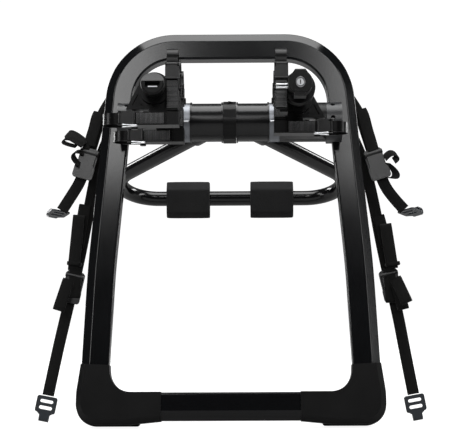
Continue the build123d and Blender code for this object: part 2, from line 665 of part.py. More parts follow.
# Castings that turn on the hub and taper to the sockets of the arms
for side, name in SIDES:
    with BuildPart() as arm_casting:
        ring_width = CASTING_END - CASTING_INNER
        extrude(ring_profile(hub_plane(side * CASTING_INNER), HUB_RADIUS), amount=side * ring_width)
        with BuildPart(mode=Mode.PRIVATE) as horn:
            with BuildSketch(arm_plane(CASTING_START)) as root_outline:
                with BuildLine():
                    Polyline(
                        (side * CASTING_INNER, -SHOULDER_HIGH), (side * CASTING_END, -SHOULDER_HIGH),
                        (side * CASTING_END, SHOULDER_LOW),
                        (side * (CASTING_END - SHOULDER_RUN), SHOULDER_HIGH),
                        (side * CASTING_INNER, SHOULDER_HIGH), close=True,
                    )
                make_face()
            with BuildSketch(arm_plane(CASTING_NOSE)) as nose_outline:
                with BuildLine():
                    Polyline(
                        (side * (ARM_X - CASTING_NOSE_RADIUS), -CASTING_NOSE_RADIUS),
                        (side * (ARM_X + NOSE_OUT), -CASTING_NOSE_RADIUS),
                        (side * (ARM_X + NOSE_OUT), NOSE_SHOULDER),
                        (side * (ARM_X + NOSE_OUT - NOSE_SHOULDER), NOSE_HIGH),
                        (side * (ARM_X - CASTING_NOSE_RADIUS), NOSE_HIGH), close=True,
                    )
                make_face()
            loft(ruled=True)
        add(horn.part)
        with BuildSketch(arm_plane(NOTCH_START, side * (ARM_X - ARM_RADIUS - NOTCH_WALL))) as notch:
            Rectangle(TUBE_WIDTH, TUBE_WIDTH, align=(Align.MAX if side > 0 else Align.MIN, Align.MIN))
            with Locations((0, NOTCH_FOOT / 2)):
                Rectangle(TUBE_WIDTH * 3, NOTCH_FOOT, mode=Mode.SUBTRACT)
        extrude(amount=CASTING_NOSE, mode=Mode.SUBTRACT)
        shaft_bore = ring_profile(hub_plane(side * (CASTING_INNER - OVERRUN)), CORE_RADIUS + RUN_GAP)
        extrude(shaft_bore, amount=side * (ring_width + OVERRUN * 2), mode=Mode.SUBTRACT)
        tube_socket = ring_profile(arm_plane(ARM_ROOT, side * ARM_X), ARM_RADIUS + FIXED_GAP)
        extrude(tube_socket, amount=CASTING_NOSE, mode=Mode.SUBTRACT)
        pin_start = Plane(origin=Vector(side * (CASTING_END + OVERRUN), HUB_Y, HUB_Z) + PIN_WAY * PIN_CIRCLE,
                          z_dir=(-side, 0, 0))
        pin_bore = ring_profile(pin_start, PIN_RADIUS + PIN_CLEAR)
        extrude(pin_bore, amount=PIN_LENGTH + OVERRUN + SIDE_GAP, mode=Mode.SUBTRACT)
        slot_middle = Vector(side * (PIN_KNOB_X + PIN_TRAVEL / 2), HUB_Y, HUB_Z) + PIN_WAY * PIN_CIRCLE
        slot_plane = Plane(origin=slot_middle, x_dir=(1, 0, 0), z_dir=PIN_WAY)
        with BuildSketch(slot_plane) as stem_slot:
            SlotCenterToCenter(PIN_TRAVEL, (PIN_STEM_RADIUS + PIN_STEM_CLEAR) * 2)
        extrude(amount=PIN_CIRCLE, mode=Mode.SUBTRACT)
    arm_casting.part.label = f"arm_casting_{name}"
    export_step(arm_casting.part, f"parts/arm_casting_{name}.step")

    with BuildPart() as arm_tube:
        tube_wall = ring_profile(arm_plane(ARM_ROOT, side * ARM_X), ARM_RADIUS, ARM_RADIUS - ARM_WALL)
        extrude(tube_wall, amount=ARM_TIP - ARM_ROOT)
    arm_tube.part.label = f"arm_tube_{name}"
    export_step(arm_tube.part, f"parts/arm_tube_{name}.step")

    # The index pin lies in the casting beside the hub and has a knob on a stem
    with BuildPart() as index_pin:
        tip_middle = Vector(side * (CASTING_END - SIDE_GAP / 2), HUB_Y, HUB_Z) + PIN_WAY * PIN_CIRCLE
        pin_tip = Plane(origin=tip_middle, z_dir=(-side, 0, 0))
        extrude(ring_profile(pin_tip, PIN_RADIUS), amount=PIN_LENGTH)
        knob_foot = HUB_CENTRE + Vector(side * PIN_KNOB_X, 0, 0)
        stem = ring_profile(Plane(origin=knob_foot + PIN_WAY * PIN_CIRCLE, z_dir=PIN_WAY), PIN_STEM_RADIUS)
        extrude(stem, amount=HUB_RADIUS - PIN_CIRCLE + PIN_KNOB_HEIGHT / 2)
        knob_plane = Plane(origin=knob_foot + PIN_WAY * (HUB_RADIUS + PIN_KNOB_LIFT), z_dir=PIN_WAY)
        extrude(ring_profile(knob_plane, PIN_KNOB_RADIUS), amount=PIN_KNOB_HEIGHT)
        knob_top = index_pin.faces().sort_by(lambda face: (face.center() - HUB_CENTRE).dot(PIN_WAY))[-1]
        chamfer(knob_top.edges(), PIN_KNOB_LIFT)
    index_pin.part.label = f"index_pin_{name}"
    export_step(index_pin.part, f"parts/index_pin_{name}.step")

# The left arm's end cap, cut flat on top, with a mouth across its front
CAP_TIP = ARM_TIP + CAP_LENGTH
with BuildPart() as opener_cap:
    cap_plug = ring_profile(arm_plane(ARM_TIP - CAP_PLUG, -ARM_X), ARM_RADIUS - ARM_WALL - FIXED_GAP)
    extrude(cap_plug, amount=CAP_PLUG)
    extrude(ring_profile(arm_plane(ARM_TIP, -ARM_X), CAP_RADIUS), amount=CAP_LENGTH)
    cap_front = opener_cap.faces().sort_by(lambda face: face.center().dot(ARM_WAY))[-1]
    fillet(cap_front.edges(), CAP_ROUND)
    with BuildSketch(arm_side_plane(-ARM_X)) as cap_slope:
        with BuildLine():
            Polyline(
                (CAP_TIP - CAP_BEVEL_RUN, CAP_RADIUS), (CAP_TIP, CAP_RADIUS - CAP_BEVEL_DROP),
                (CAP_TIP + OVERRUN, CAP_RADIUS - CAP_BEVEL_DROP), (CAP_TIP + OVERRUN, CAP_RADIUS + OVERRUN),
                (CAP_TIP - CAP_BEVEL_RUN, CAP_RADIUS + OVERRUN), close=True,
            )
        make_face()
    extrude(amount=CAP_RADIUS, both=True, mode=Mode.SUBTRACT)
    mouth_height = MOUTH_TOP + MOUTH_BOTTOM
    with BuildSketch(arm_plane(CAP_TIP + OVERRUN, -ARM_X)) as mouth:
        with Locations((0, MOUTH_TOP - mouth_height / 2)):
            Rectangle(MOUTH_HALF * 2, mouth_height)
    extrude(amount=-MOUTH_DEPTH - OVERRUN, mode=Mode.SUBTRACT)
    bar_level = OPENER_THICK - MOUTH_BOTTOM
    with BuildSketch(arm_plane(CAP_TIP - MOUTH_DEPTH + OVERRUN, -ARM_X)) as bar_seat:
        with Locations((0, bar_level)):
            Rectangle(OPENER_HALF * 2, OPENER_THICK)
    extrude(amount=-OVERRUN - OPENER_SINK, mode=Mode.SUBTRACT)
opener_cap.part.label = "opener_cap"
export_step(opener_cap.part, "parts/opener_cap.step")

with BuildPart() as opener_bar:
    with BuildSketch(arm_plane(CAP_TIP - MOUTH_DEPTH - OPENER_SINK, -ARM_X)) as bar_outline:
        with Locations((0, bar_level)):
            Rectangle(OPENER_HALF * 2, OPENER_THICK)
    extrude(amount=OPENER_SINK + OPENER_DEPTH)
opener_bar.part.label = "opener_bar"
export_step(opener_bar.part, "parts/opener_bar.step")

# The right arm's lock: a housing with a raised frame, and the core that the key turns
LOCK_TIP = ARM_TIP + LOCK_LENGTH
with BuildPart() as lock_housing:
    housing_plug = ring_profile(arm_plane(ARM_TIP - CAP_PLUG, ARM_X), ARM_RADIUS - ARM_WALL - FIXED_GAP)
    extrude(housing_plug, amount=CAP_PLUG)
    with BuildSketch(arm_plane(ARM_TIP, ARM_X)) as housing_outline:
        Circle(LOCK_RADIUS)
        with BuildLine():
            Polyline(
                (-LOCK_RADIUS + OVERRUN / 2, LOCK_RADIUS / 3), (-LOCK_BROW_HALF, LOCK_BROW),
                (LOCK_BROW_HALF, LOCK_BROW), (LOCK_RADIUS - OVERRUN / 2, LOCK_RADIUS / 3), close=True,
            )
        make_face()
        with Locations((0, -LOCK_CHIN / 2)):
            Rectangle(LOCK_RING_HALF * 2, LOCK_CHIN)
    extrude(amount=LOCK_LENGTH - LOCK_RING_PROUD)
    housing_front = lock_housing.faces().sort_by(lambda face: face.center().dot(ARM_WAY))[-1]
    chamfer(housing_front.edges(), CAP_ROUND / 2)
    with BuildSketch(arm_plane(LOCK_TIP - LOCK_RING_PROUD, ARM_X)) as frame_outline:
        with Locations((0, LOCK_RISE)):
            Circle(LOCK_RING_HALF)
        with Locations((0, LOCK_RISE - LOCK_RING_DROP / 2)):
            Rectangle(LOCK_RING_HALF * 2 - LOCK_RING_WALL, LOCK_RING_DROP)
    extrude(amount=LOCK_RING_PROUD)
    with BuildSketch(arm_plane(LOCK_TIP, ARM_X)) as frame_recess:
        with Locations((0, LOCK_RISE)):
            Circle(LOCK_RING_HALF - LOCK_RING_WALL)
        with Locations((0, LOCK_RISE - LOCK_RING_DROP + LOCK_RING_WALL * 2)):
            Rectangle(LOCK_RING_HALF * 2 - LOCK_RING_WALL * 3, LOCK_RING_WALL * 2)
    extrude(amount=-LOCK_RING_PROUD / 2, mode=Mode.SUBTRACT)
    with BuildSketch(arm_plane(LOCK_TIP, ARM_X)) as core_bore:
        with Locations((0, LOCK_RISE)):
            Circle(LOCK_CORE_RADIUS + LOCK_CLEAR)
    extrude(amount=-LOCK_CORE_LENGTH - LOCK_SINK, mode=Mode.SUBTRACT)
lock_housing.part.label = "lock_housing"
export_step(lock_housing.part, "parts/lock_housing.step")

with BuildPart() as lock_core:
    with BuildSketch(arm_plane(LOCK_TIP - LOCK_SINK, ARM_X)) as core_outline:
        with Locations((0, LOCK_RISE)):
            Circle(LOCK_CORE_RADIUS)
    extrude(amount=-LOCK_CORE_LENGTH)
    with BuildSketch(arm_plane(LOCK_TIP - LOCK_SINK, ARM_X)) as keyway:
        with Locations((0, LOCK_RISE)):
            Rectangle(KEYWAY_WIDTH, KEYWAY_HEIGHT)
    extrude(amount=-KEYWAY_DEPTH, mode=Mode.SUBTRACT)
lock_core.part.label = "lock_core"
export_step(lock_core.part, "parts/lock_core.step")


def unit_plane(side, station, sway=False):
    """Middle plane of a cradle's strap: x leads away from the arm, y along the arm to its tip."""
    origin = HUB_CENTRE + ARM_WAY * station
    if sway:
        origin = origin + Vector(side * (ARM_X + SWAY_SHIFT), 0, 0) - ARM_UP * SWAY_DROP
        away = Vector(side, 0, 0)
    else:
        origin = origin + Vector(side * (ARM_X - TOWER_OUT), 0, 0)
        away = ARM_UP
    return Plane(origin=origin, x_dir=away, z_dir=away.cross(ARM_WAY))


EYE = (CUP_CENTRE - EYE_DOWN, -STRAP_INNER - STRAP_THICK / 2)
STRAP_FRONT = STRAP_INNER + STRAP_THICK
HINGE = (CUP_CENTRE - CHEEK_TOP, STRAP_FRONT + LEVER_GAP + LEVER_BARREL)
EAR_INNER = STRAP_HALF + EAR_GAP


def tower_part(place, foot):
    """Upright of a cradle: a cup for the frame tube, and ears with a pin for the strap's eye."""
    with BuildPart() as tower:
        with BuildSketch(place) as tower_outline:
            with BuildLine():
                Polyline(
                    (-foot, -TOWER_THICK), (CUP_CENTRE - HORN_DROP, -TOWER_THICK),
                    (CUP_CENTRE - HORN_DROP, TOWER_THICK), (-foot, TOWER_THICK), close=True,
                )
            make_face()
            with Locations((CUP_CENTRE, 0)):
                Circle(CUP_RADIUS, mode=Mode.SUBTRACT)
        extrude(amount=TOWER_HALF, both=True)
        with BuildSketch(place) as relief:
            with Locations((EYE[0] + TUBE_WIDTH / 2, EYE[1] + TUBE_WIDTH)):
                Rectangle(TUBE_WIDTH, TUBE_WIDTH * 2)
            with Locations(EYE):
                Circle(STRAP_INNER - EYE[1] - RELIEF_GAP, mode=Mode.SUBTRACT)
        extrude(amount=TUBE_WIDTH, both=True, mode=Mode.SUBTRACT)
        with BuildSketch(place) as eye_room:
            with Locations(EYE):
                Circle(EYE_RADIUS + EAR_GAP)
        extrude(amount=EAR_INNER, both=True, mode=Mode.SUBTRACT)
        with BuildSketch(place) as ear_outline:
            with Locations(EYE):
                Circle(EYE_RADIUS)
            with Locations((EYE[0], EYE[1] + EYE_RADIUS)):
                Rectangle(EYE_RADIUS * 2, EYE_RADIUS * 2)
        extrude(amount=EAR_INNER + EAR_THICK, both=True)
        with BuildSketch(place) as ear_room:
            with Locations(EYE):
                Circle(EYE_RADIUS + EAR_GAP)
        extrude(amount=EAR_INNER, both=True, mode=Mode.SUBTRACT)
        with BuildSketch(place) as eye_pin:
            with Locations(EYE):
                Circle(EYE_PIN_RADIUS)
        extrude(amount=EAR_INNER + EAR_THICK, both=True)
    return tower.part


def strap_part(place):
    """Ladder strap: an eye, a crest over the cup, cheeks for the lever and a ribbed tail."""
    with BuildPart() as strap:
        with BuildSketch(place) as band:
            with Locations((CUP_CENTRE, 0)):
                Circle(STRAP_FRONT)
                Circle(STRAP_INNER, mode=Mode.SUBTRACT)
            with Locations((CUP_CENTRE - STRAP_FRONT, 0)):
                Rectangle(STRAP_FRONT * 2, STRAP_FRONT * 2 + OVERRUN, mode=Mode.SUBTRACT)
            with Locations((CUP_CENTRE - EYE_DOWN / 2, EYE[1])):
                Rectangle(EYE_DOWN, STRAP_THICK)
            with Locations(EYE):
                Circle(EYE_RADIUS)
                Circle(EYE_PIN_RADIUS + EYE_CLEAR, mode=Mode.SUBTRACT)
            with Locations(((CUP_CENTRE - TAIL_END) / 2, STRAP_INNER + STRAP_THICK / 2)):
                Rectangle(CUP_CENTRE + TAIL_END, STRAP_THICK)
            for step in range(RIB_COUNT):
                with Locations((RIB_START - RIB_PITCH * step, STRAP_FRONT)):
                    Rectangle(RIB_WIDTH, RIB_HEIGHT * 2)
        extrude(amount=STRAP_HALF, both=True)
        for way in (-1, 1):
            with BuildSketch(place.offset(way * STRAP_HALF)) as cheek:
                with Locations((HINGE[0] - CHEEK_LENGTH / 2 + LEVER_BARREL, STRAP_INNER + CHEEK_HEIGHT / 2)):
                    Rectangle(CHEEK_LENGTH, CHEEK_HEIGHT)
                with Locations(HINGE):
                    Circle(LEVER_BARREL + HINGE_RIM)
                with Locations((HINGE[0], (STRAP_INNER + HINGE[1]) / 2)):
                    Rectangle((LEVER_BARREL + HINGE_RIM) * 2, HINGE[1] - STRAP_INNER)
                with Locations(HINGE):
                    Circle(AXLE_RADIUS + EYE_CLEAR, mode=Mode.SUBTRACT)
            extrude(amount=way * CHEEK_THICK)
    return strap.part


def lever_part(place):
    """Buckle lever: a barrel between the cheeks, a wide thumb plate and a lip."""
    plate_back = STRAP_INNER + CHEEK_HEIGHT + LEVER_GAP
    plate_middle = plate_back + LEVER_THICK / 2
    plate_top = HINGE[0] - LEVER_BARREL - HINGE_RIM * 2
    with BuildPart() as lever:
        with BuildSketch(place) as barrel:
            with Locations(HINGE):
                Circle(LEVER_BARREL)
            with Locations((HINGE[0] - LEVER_LENGTH / 4, plate_middle)):
                Rectangle(LEVER_LENGTH / 2, LEVER_THICK)
        extrude(amount=STRAP_HALF - EAR_GAP, both=True)
        with BuildSketch(place) as axle:
            with Locations(HINGE):
                Circle(AXLE_RADIUS)
        extrude(amount=STRAP_HALF + CHEEK_THICK, both=True)
        with BuildSketch(place) as plate:
            with Locations((plate_top - (LEVER_LENGTH - LEVER_BARREL) / 2, plate_middle)):
                Rectangle(LEVER_LENGTH - LEVER_BARREL, LEVER_THICK)
            with Locations((plate_top - LEVER_LENGTH + LEVER_BARREL, plate_middle + LEVER_THICK / 3)):
                Circle(LEVER_LIP / 2)
        extrude(amount=LEVER_HALF, both=True)
    return lever.part


def gusset_profile(side, station, shrink=0.0):
    """Three-sided web from a cradle's ring out to the end of its anti-sway leg."""
    leg_top = TOWER_THICK - SWAY_DROP - GUSSET_LOW
    leg_end = SWAY_SHIFT + CUP_CENTRE - HORN_DROP - GUSSET_SHORT
    with BuildSketch(arm_plane(station, side * ARM_X)) as gusset:
        with BuildLine():
            Polyline(
                (side * RING_RADIUS, GUSSET_TOP), (side * leg_end, leg_top), (0, leg_top),
                (side * ARM_RADIUS, GUSSET_TOP - RING_RADIUS), close=True,
            )
        make_face()
        if shrink:
            offset(amount=-shrink, kind=Kind.INTERSECTION, mode=Mode.REPLACE)
    return gusset.sketch


STATION_NAMES = ("far", "middle", "near")
SWAY_CRADLES = (("left", "near"), ("left", "far"), ("right", "middle"))

for side, name in SIDES:
    for station, place_name in zip(STATIONS, STATION_NAMES):
        sway = (name, place_name) in SWAY_CRADLES
        spot = f"{name}_{place_name}"
        top_place = unit_plane(side, station)
        sway_place = unit_plane(side, station, sway=True)
        with BuildPart() as cradle:
            extrude(ring_profile(arm_plane(station, side * ARM_X), RING_RADIUS), amount=RING_HALF, both=True)
            add(tower_part(top_place, SWAY_DROP + TOWER_HALF if sway else TOWER_FOOT))
            neck_foot = NECK_SWAY if sway else TOWER_FOOT + OVERRUN
            with BuildSketch(top_place.offset(-side * (TOWER_HALF - NECK_STEP))) as neck:
                with Locations(((NECK_TOP - neck_foot) / 2, 0)):
                    Rectangle(NECK_TOP + neck_foot, TUBE_WIDTH * 2)
            extrude(amount=-side * TUBE_WIDTH, mode=Mode.SUBTRACT)
            if sway:
                add(tower_part(sway_place, SWAY_INNER_END))
                web_centre = side * (ARM_X - TOWER_OUT / 2)
                with BuildSketch(arm_plane(station, web_centre)) as web:
                    with Locations((0, -SWAY_DROP / 2)):
                        Rectangle(TOWER_OUT + WEB_OUT * 2, SWAY_DROP)
                extrude(amount=WEB_HALF, both=True)
                extrude(gusset_profile(side, station), amount=GUSSET_HALF, both=True)
                for face in (-1, 1):
                    sunk = gusset_profile(side, station + face * GUSSET_HALF, GUSSET_RIM)
                    extrude(sunk, amount=-face * GUSSET_SINK, mode=Mode.SUBTRACT)
            extrude(ring_profile(arm_plane(station, side * ARM_X), ARM_RADIUS + RUN_GAP), amount=TUBE_WIDTH,
                    both=True, mode=Mode.SUBTRACT)
        cradle.part.label = f"cradle_{spot}"
        export_step(cradle.part, f"parts/cradle_{spot}.step")
        units = [("", top_place)]
        if sway:
            units.append(("sway_", sway_place))
        for kind, place in units:
            ladder_strap = strap_part(place)
            ladder_strap.label = f"{kind}strap_{spot}"
            export_step(ladder_strap, f"parts/{kind}strap_{spot}.step")
            buckle_lever = lever_part(place)
            buckle_lever.label = f"{kind}lever_{spot}"
            export_step(buckle_lever, f"parts/{kind}lever_{spot}.step")


def strap_frame(start, end, share, back):
    """Plane on a strap's run, at a share of it: y points back up the strap and z to the viewer."""
    middle = [start[axis] + (end[axis] - start[axis]) * share for axis in (0, 1)]
    up_strap = Vector(start[0] - end[0], 0, 0) + ARCH_UP * (start[1] - end[1])
    return Plane(
        origin=arch_point(middle[0], middle[1], -back),
        x_dir=up_strap.normalized().cross(ARCH_FRONT), z_dir=ARCH_FRONT,
    )


def web_path(route, back, stiff_run):
    """Centreline of a strap: straight runs joined by arcs that end clear of its buckle."""
    radii = []
    for corner in range(1, len(route) - 1):
        before = Vector(*[route[corner][axis] - route[corner - 1][axis] for axis in (0, 1)])
        after = Vector(*[route[corner + 1][axis] - route[corner][axis] for axis in (0, 1)])
        reach = BEND_SHARE * min(before.length, after.length)
        if corner in (stiff_run, stiff_run + 1):
            stiff = after if corner == stiff_run else before
            reach = min(reach, (stiff.length - BUCKLE_LENGTH) / 2 - BUCKLE_EASE)
        turn = radians(before.get_angle(after))
        radii.append(reach / tan(turn / 2))
    with BuildLine(arch_plane(-back)) as line:
        FilletPolyline(*route, radius=radii)
    print("strap bends", [round(radius) for radius in radii])
    return line.line


def hook_plane(route, back, tilt):
    """Plane of a hook: its origin is in the fold of the webbing, and the hook runs along -y."""
    level = strap_frame(route[-2], route[-1], 1, back)
    return level.rotated((tilt, 0, 0)) if tilt else level


def hook_part(place):
    """Flat hook: a bar for the webbing, a second slot, and a tongue that curls to the vehicle."""
    top = -WRAP_CLEAR - WEB_THICK / 2
    with BuildPart() as hook:
        with BuildSketch(place.offset(-HOOK_THICK / 2)) as hook_plate:
            with Locations((0, top - HOOK_PLATE / 2)):
                Rectangle(HOOK_WIDTH, HOOK_PLATE)
            fillet(hook_plate.vertices(), HOOK_NECK / 2)
            with BuildLine():
                Polyline(
                    (-HOOK_WIDTH / 2 + HOOK_NECK / 2, top - HOOK_PLATE),
                    (-HOOK_TONGUE_WIDTH / 2, top - HOOK_PLATE - HOOK_NECK / 2),
                    (-HOOK_TONGUE_WIDTH / 2, top - HOOK_PLATE - HOOK_NECK),
                    (HOOK_TONGUE_WIDTH / 2, top - HOOK_PLATE - HOOK_NECK),
                    (HOOK_TONGUE_WIDTH / 2, top - HOOK_PLATE - HOOK_NECK / 2),
                    (HOOK_WIDTH / 2 - HOOK_NECK / 2, top - HOOK_PLATE), close=True,
                )
            make_face()
            slot_one = top - HOOK_BAR - HOOK_SLOT_ONE / 2
            slot_two = top - HOOK_BAR - HOOK_SLOT_ONE - HOOK_BRIDGE - HOOK_SLOT_TWO / 2
            with Locations((0, slot_one)):
                SlotOverall(HOOK_SLOT_WIDTH, HOOK_SLOT_ONE, mode=Mode.SUBTRACT)
            with Locations((0, slot_two)):
                SlotOverall(HOOK_SLOT_WIDTH, HOOK_SLOT_TWO, mode=Mode.SUBTRACT)
        extrude(amount=HOOK_THICK)
        curl_top = top - HOOK_PLATE - HOOK_NECK
        curl = Plane(origin=place.from_local_coords(Vector(-HOOK_TONGUE_WIDTH / 2, curl_top, 0)),
                     x_dir=place.y_dir, z_dir=place.x_dir)
        with BuildSketch(curl) as curl_outline:
            with Locations((0, CURL_SIDE * HOOK_CURL)):
                Circle(HOOK_CURL + HOOK_THICK / 2)
                Circle(HOOK_CURL - HOOK_THICK / 2, mode=Mode.SUBTRACT)
            with Locations((HOOK_CURL, CURL_SIDE * HOOK_CURL)):
                Rectangle(HOOK_CURL * 2, HOOK_CURL * 4, mode=Mode.SUBTRACT)
            with Locations((HOOK_LIP / 2, CURL_SIDE * HOOK_CURL * 2)):
                Rectangle(HOOK_LIP, HOOK_THICK)
        extrude(amount=HOOK_TONGUE_WIDTH)
    return hook.part


def buckle_part(place):
    """Cam buckle body: a slot for the webbing and two ears for the lever's axle."""
    with BuildPart() as buckle:
        with BuildSketch(place.offset(-BUCKLE_THICK / 2)) as body:
            RectangleRounded(BUCKLE_WIDTH, BUCKLE_LENGTH, BUCKLE_CORNER)
        extrude(amount=BUCKLE_THICK)
        for way in (-1, 1):
            ear_place = Plane(origin=place.from_local_coords(Vector(way * (CAM_WIDTH / 2 + CAM_GAP), 0, 0)),
                              x_dir=place.y_dir, z_dir=place.x_dir * way)
            with BuildSketch(ear_place) as ear:
                with Locations((CAM_HINGE[0], way * CAM_HINGE[1])):
                    Circle(CAM_BARREL)
                with Locations((CAM_HINGE[0], way * CAM_HINGE[1] / 2)):
                    Rectangle(CAM_BARREL * 2, CAM_HINGE[1])
                with Locations((CAM_HINGE[0], way * CAM_HINGE[1])):
                    Circle(CAM_AXLE + EYE_CLEAR, mode=Mode.SUBTRACT)
            extrude(amount=BUCKLE_WIDTH / 2 - CAM_WIDTH / 2 - CAM_GAP)
        web_way = Plane(origin=place.from_local_coords(Vector(0, -BUCKLE_LENGTH, 0)), x_dir=place.x_dir,
                        z_dir=place.y_dir)
        with BuildSketch(web_way) as web_slot:
            Rectangle(BUCKLE_SLOT_WIDTH, BUCKLE_SLOT)
        extrude(amount=BUCKLE_LENGTH * 2, mode=Mode.SUBTRACT)
    return buckle.part


def cam_lever_part(place):
    """Lever of a cam buckle: a barrel on an axle and a broad thumb plate over the body."""
    side_view = Plane(origin=place.origin, x_dir=place.y_dir, z_dir=place.x_dir)
    plate_level = CAM_HINGE[1] - CAM_BARREL + CAM_THICK / 2 + CAM_GAP
    with BuildPart() as lever:
        with BuildSketch(side_view) as cam:
            with Locations((CAM_HINGE[0], CAM_HINGE[1])):
                Circle(CAM_BARREL)
            with Locations((CAM_HINGE[0] - CAM_LENGTH / 2, plate_level)):
                Rectangle(CAM_LENGTH, CAM_THICK)
        extrude(amount=CAM_WIDTH / 2, both=True)
        with BuildSketch(place.offset(plate_level - CAM_THICK / 2)) as thumb:
            with Locations((0, CAM_HINGE[0] - CAM_LENGTH * CAM_THUMB_SHARE)):
                RectangleRounded(BUCKLE_WIDTH + CAM_BARREL, CAM_LENGTH / 2, BUCKLE_CORNER)
        extrude(amount=CAM_THICK)
        with BuildSketch(side_view) as cam_axle:
            with Locations((CAM_HINGE[0], CAM_HINGE[1])):
                Circle(CAM_AXLE)
        extrude(amount=BUCKLE_WIDTH / 2, both=True)
    return lever.part


STRAPS = (
    ("upper", -1, UPPER_LEFT_ROUTE, UPPER_BACK, UPPER_RUNS, (UPPER_FOLD, UPPER_LAYERS), UPPER_HOOK_TILT),
    ("upper", 1, UPPER_RIGHT_ROUTE, UPPER_BACK, UPPER_RUNS, (UPPER_FOLD, UPPER_LAYERS), UPPER_HOOK_TILT),
    ("lower", -1, LOWER_LEFT_ROUTE, LOWER_BACK, LOWER_RUNS, (LOWER_FOLD, LOWER_LAYERS), 0),
    ("lower", 1, LOWER_RIGHT_ROUTE, LOWER_BACK, LOWER_RUNS, (LOWER_FOLD, LOWER_LAYERS), 0),
)
anchors, hooks, buckles = [], [], []
for level, side, route, back, runs, (fold_length, layers), tilt in STRAPS:
    strap_name = f"{level}_strap_{'left' if side < 0 else 'right'}"
    fold_run, buckle_run = runs
    path = web_path(route, back, buckle_run)
    rod_back = back - ROD_RADIUS - ROD_CLEAR - WEB_THICK / 2
    rod_place = strap_frame(route[0], route[1], 0, rod_back)
    across = Plane(origin=rod_place.origin, x_dir=rod_place.y_dir, z_dir=rod_place.x_dir)
    with BuildPart() as webbing:
        web_start = Plane(origin=path @ 0, x_dir=ARCH_FRONT.cross(path % 0), z_dir=path % 0)
        with BuildSketch(web_start) as web_section:
            Rectangle(WEB_WIDTH, WEB_THICK)
        sweep(path=path)
        with BuildSketch(across) as rod_wrap:
            Circle(ROD_RADIUS + ROD_CLEAR + WEB_THICK)
        extrude(amount=WEB_WIDTH / 2, both=True)
        with BuildSketch(across) as rod_room:
            Circle(ROD_RADIUS + ROD_CLEAR)
        extrude(amount=WEB_WIDTH, both=True, mode=Mode.SUBTRACT)
        hook_place = hook_plane(route, back, tilt)
        hook_side = Plane(origin=hook_place.origin, x_dir=hook_place.y_dir, z_dir=hook_place.x_dir)
        wrap_length = HOOK_BAR + WRAP_CLEAR * 2 + WEB_THICK * 2
        wrap_depth = HOOK_THICK + WRAP_CLEAR * 2 + WEB_THICK * 2
        with BuildSketch(hook_side) as hook_wrap:
            with Locations((WEB_THICK / 2 - wrap_length / 2, 0)):
                RectangleRounded(wrap_length, wrap_depth, WEB_THICK)
                Rectangle(wrap_length - WEB_THICK * 2, wrap_depth - WEB_THICK * 2, mode=Mode.SUBTRACT)
        extrude(amount=WEB_WIDTH / 2, both=True)
        fold_place = strap_frame(route[fold_run], route[fold_run + 1], FOLD_SHARE, back)
        fold_deep = layers * (WEB_THICK + FOLD_GAP) - FOLD_GAP
        fold_side = Plane(
            origin=fold_place.from_local_coords(Vector(0, 0, WEB_THICK / 2 + FOLD_STANDOFF + fold_deep / 2)),
            x_dir=fold_place.y_dir, z_dir=fold_place.x_dir,
        )
        with BuildSketch(fold_side) as fold_outline:
            RectangleRounded(fold_length, fold_deep, fold_deep / 2 - FOLD_GAP)
        extrude(amount=WEB_WIDTH / 2, both=True)
    webbing.part.label = strap_name
    export_step(webbing.part, f"parts/{strap_name}.step")
    with BuildPart() as anchor:
        with BuildSketch(across) as rod:
            Circle(ROD_RADIUS)
        extrude(amount=ROD_SPAN / 2 + ROD_RADIUS, both=True)
        with BuildSketch(rod_place) as posts:
            with Locations((-ROD_SPAN / 2, 0), (ROD_SPAN / 2, 0)):
                Rectangle(ROD_RADIUS * 2, ROD_RADIUS * 2)
        extrude(amount=rod_back - TUBE_DEPTH / 2)
    anchors.append(anchor.part)
    hooks.append(hook_part(hook_place))
    buckle_place = strap_frame(route[buckle_run], route[buckle_run + 1], BUCKLE_SHARE, back)
    buckles.append(buckle_part(buckle_place))
    lever = cam_lever_part(buckle_place)
    lever.label = strap_name.replace("strap", "cam_lever")
    export_step(lever, f"parts/{lever.label}.step")

for group, group_name in ((anchors, "strap_anchors"), (hooks, "strap_hooks"), (buckles, "cam_buckles")):
    with BuildPart() as pieces:
        for piece in group:
            add(piece)
    pieces.part.label = group_name
    export_step(pieces.part, f"parts/{group_name}.step")
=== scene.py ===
# %% [markdown]
# # A trunk rack, dressed for its picture
#
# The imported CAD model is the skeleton. Every hard part is already in its place, rides on its own
# body and turns on its own joint. This notebook adds what CAD leaves out: woven straps and their
# spare length, foam, the fine ribs of the ladder straps, small bright parts, and a finish on
# every surface. Metres are used throughout, with X to the right, Y towards the vehicle and Z up.

# %% Load the frame
import json
from math import cos, pi, radians, sin

import bmesh
import bpy
from mathutils import Matrix, Vector

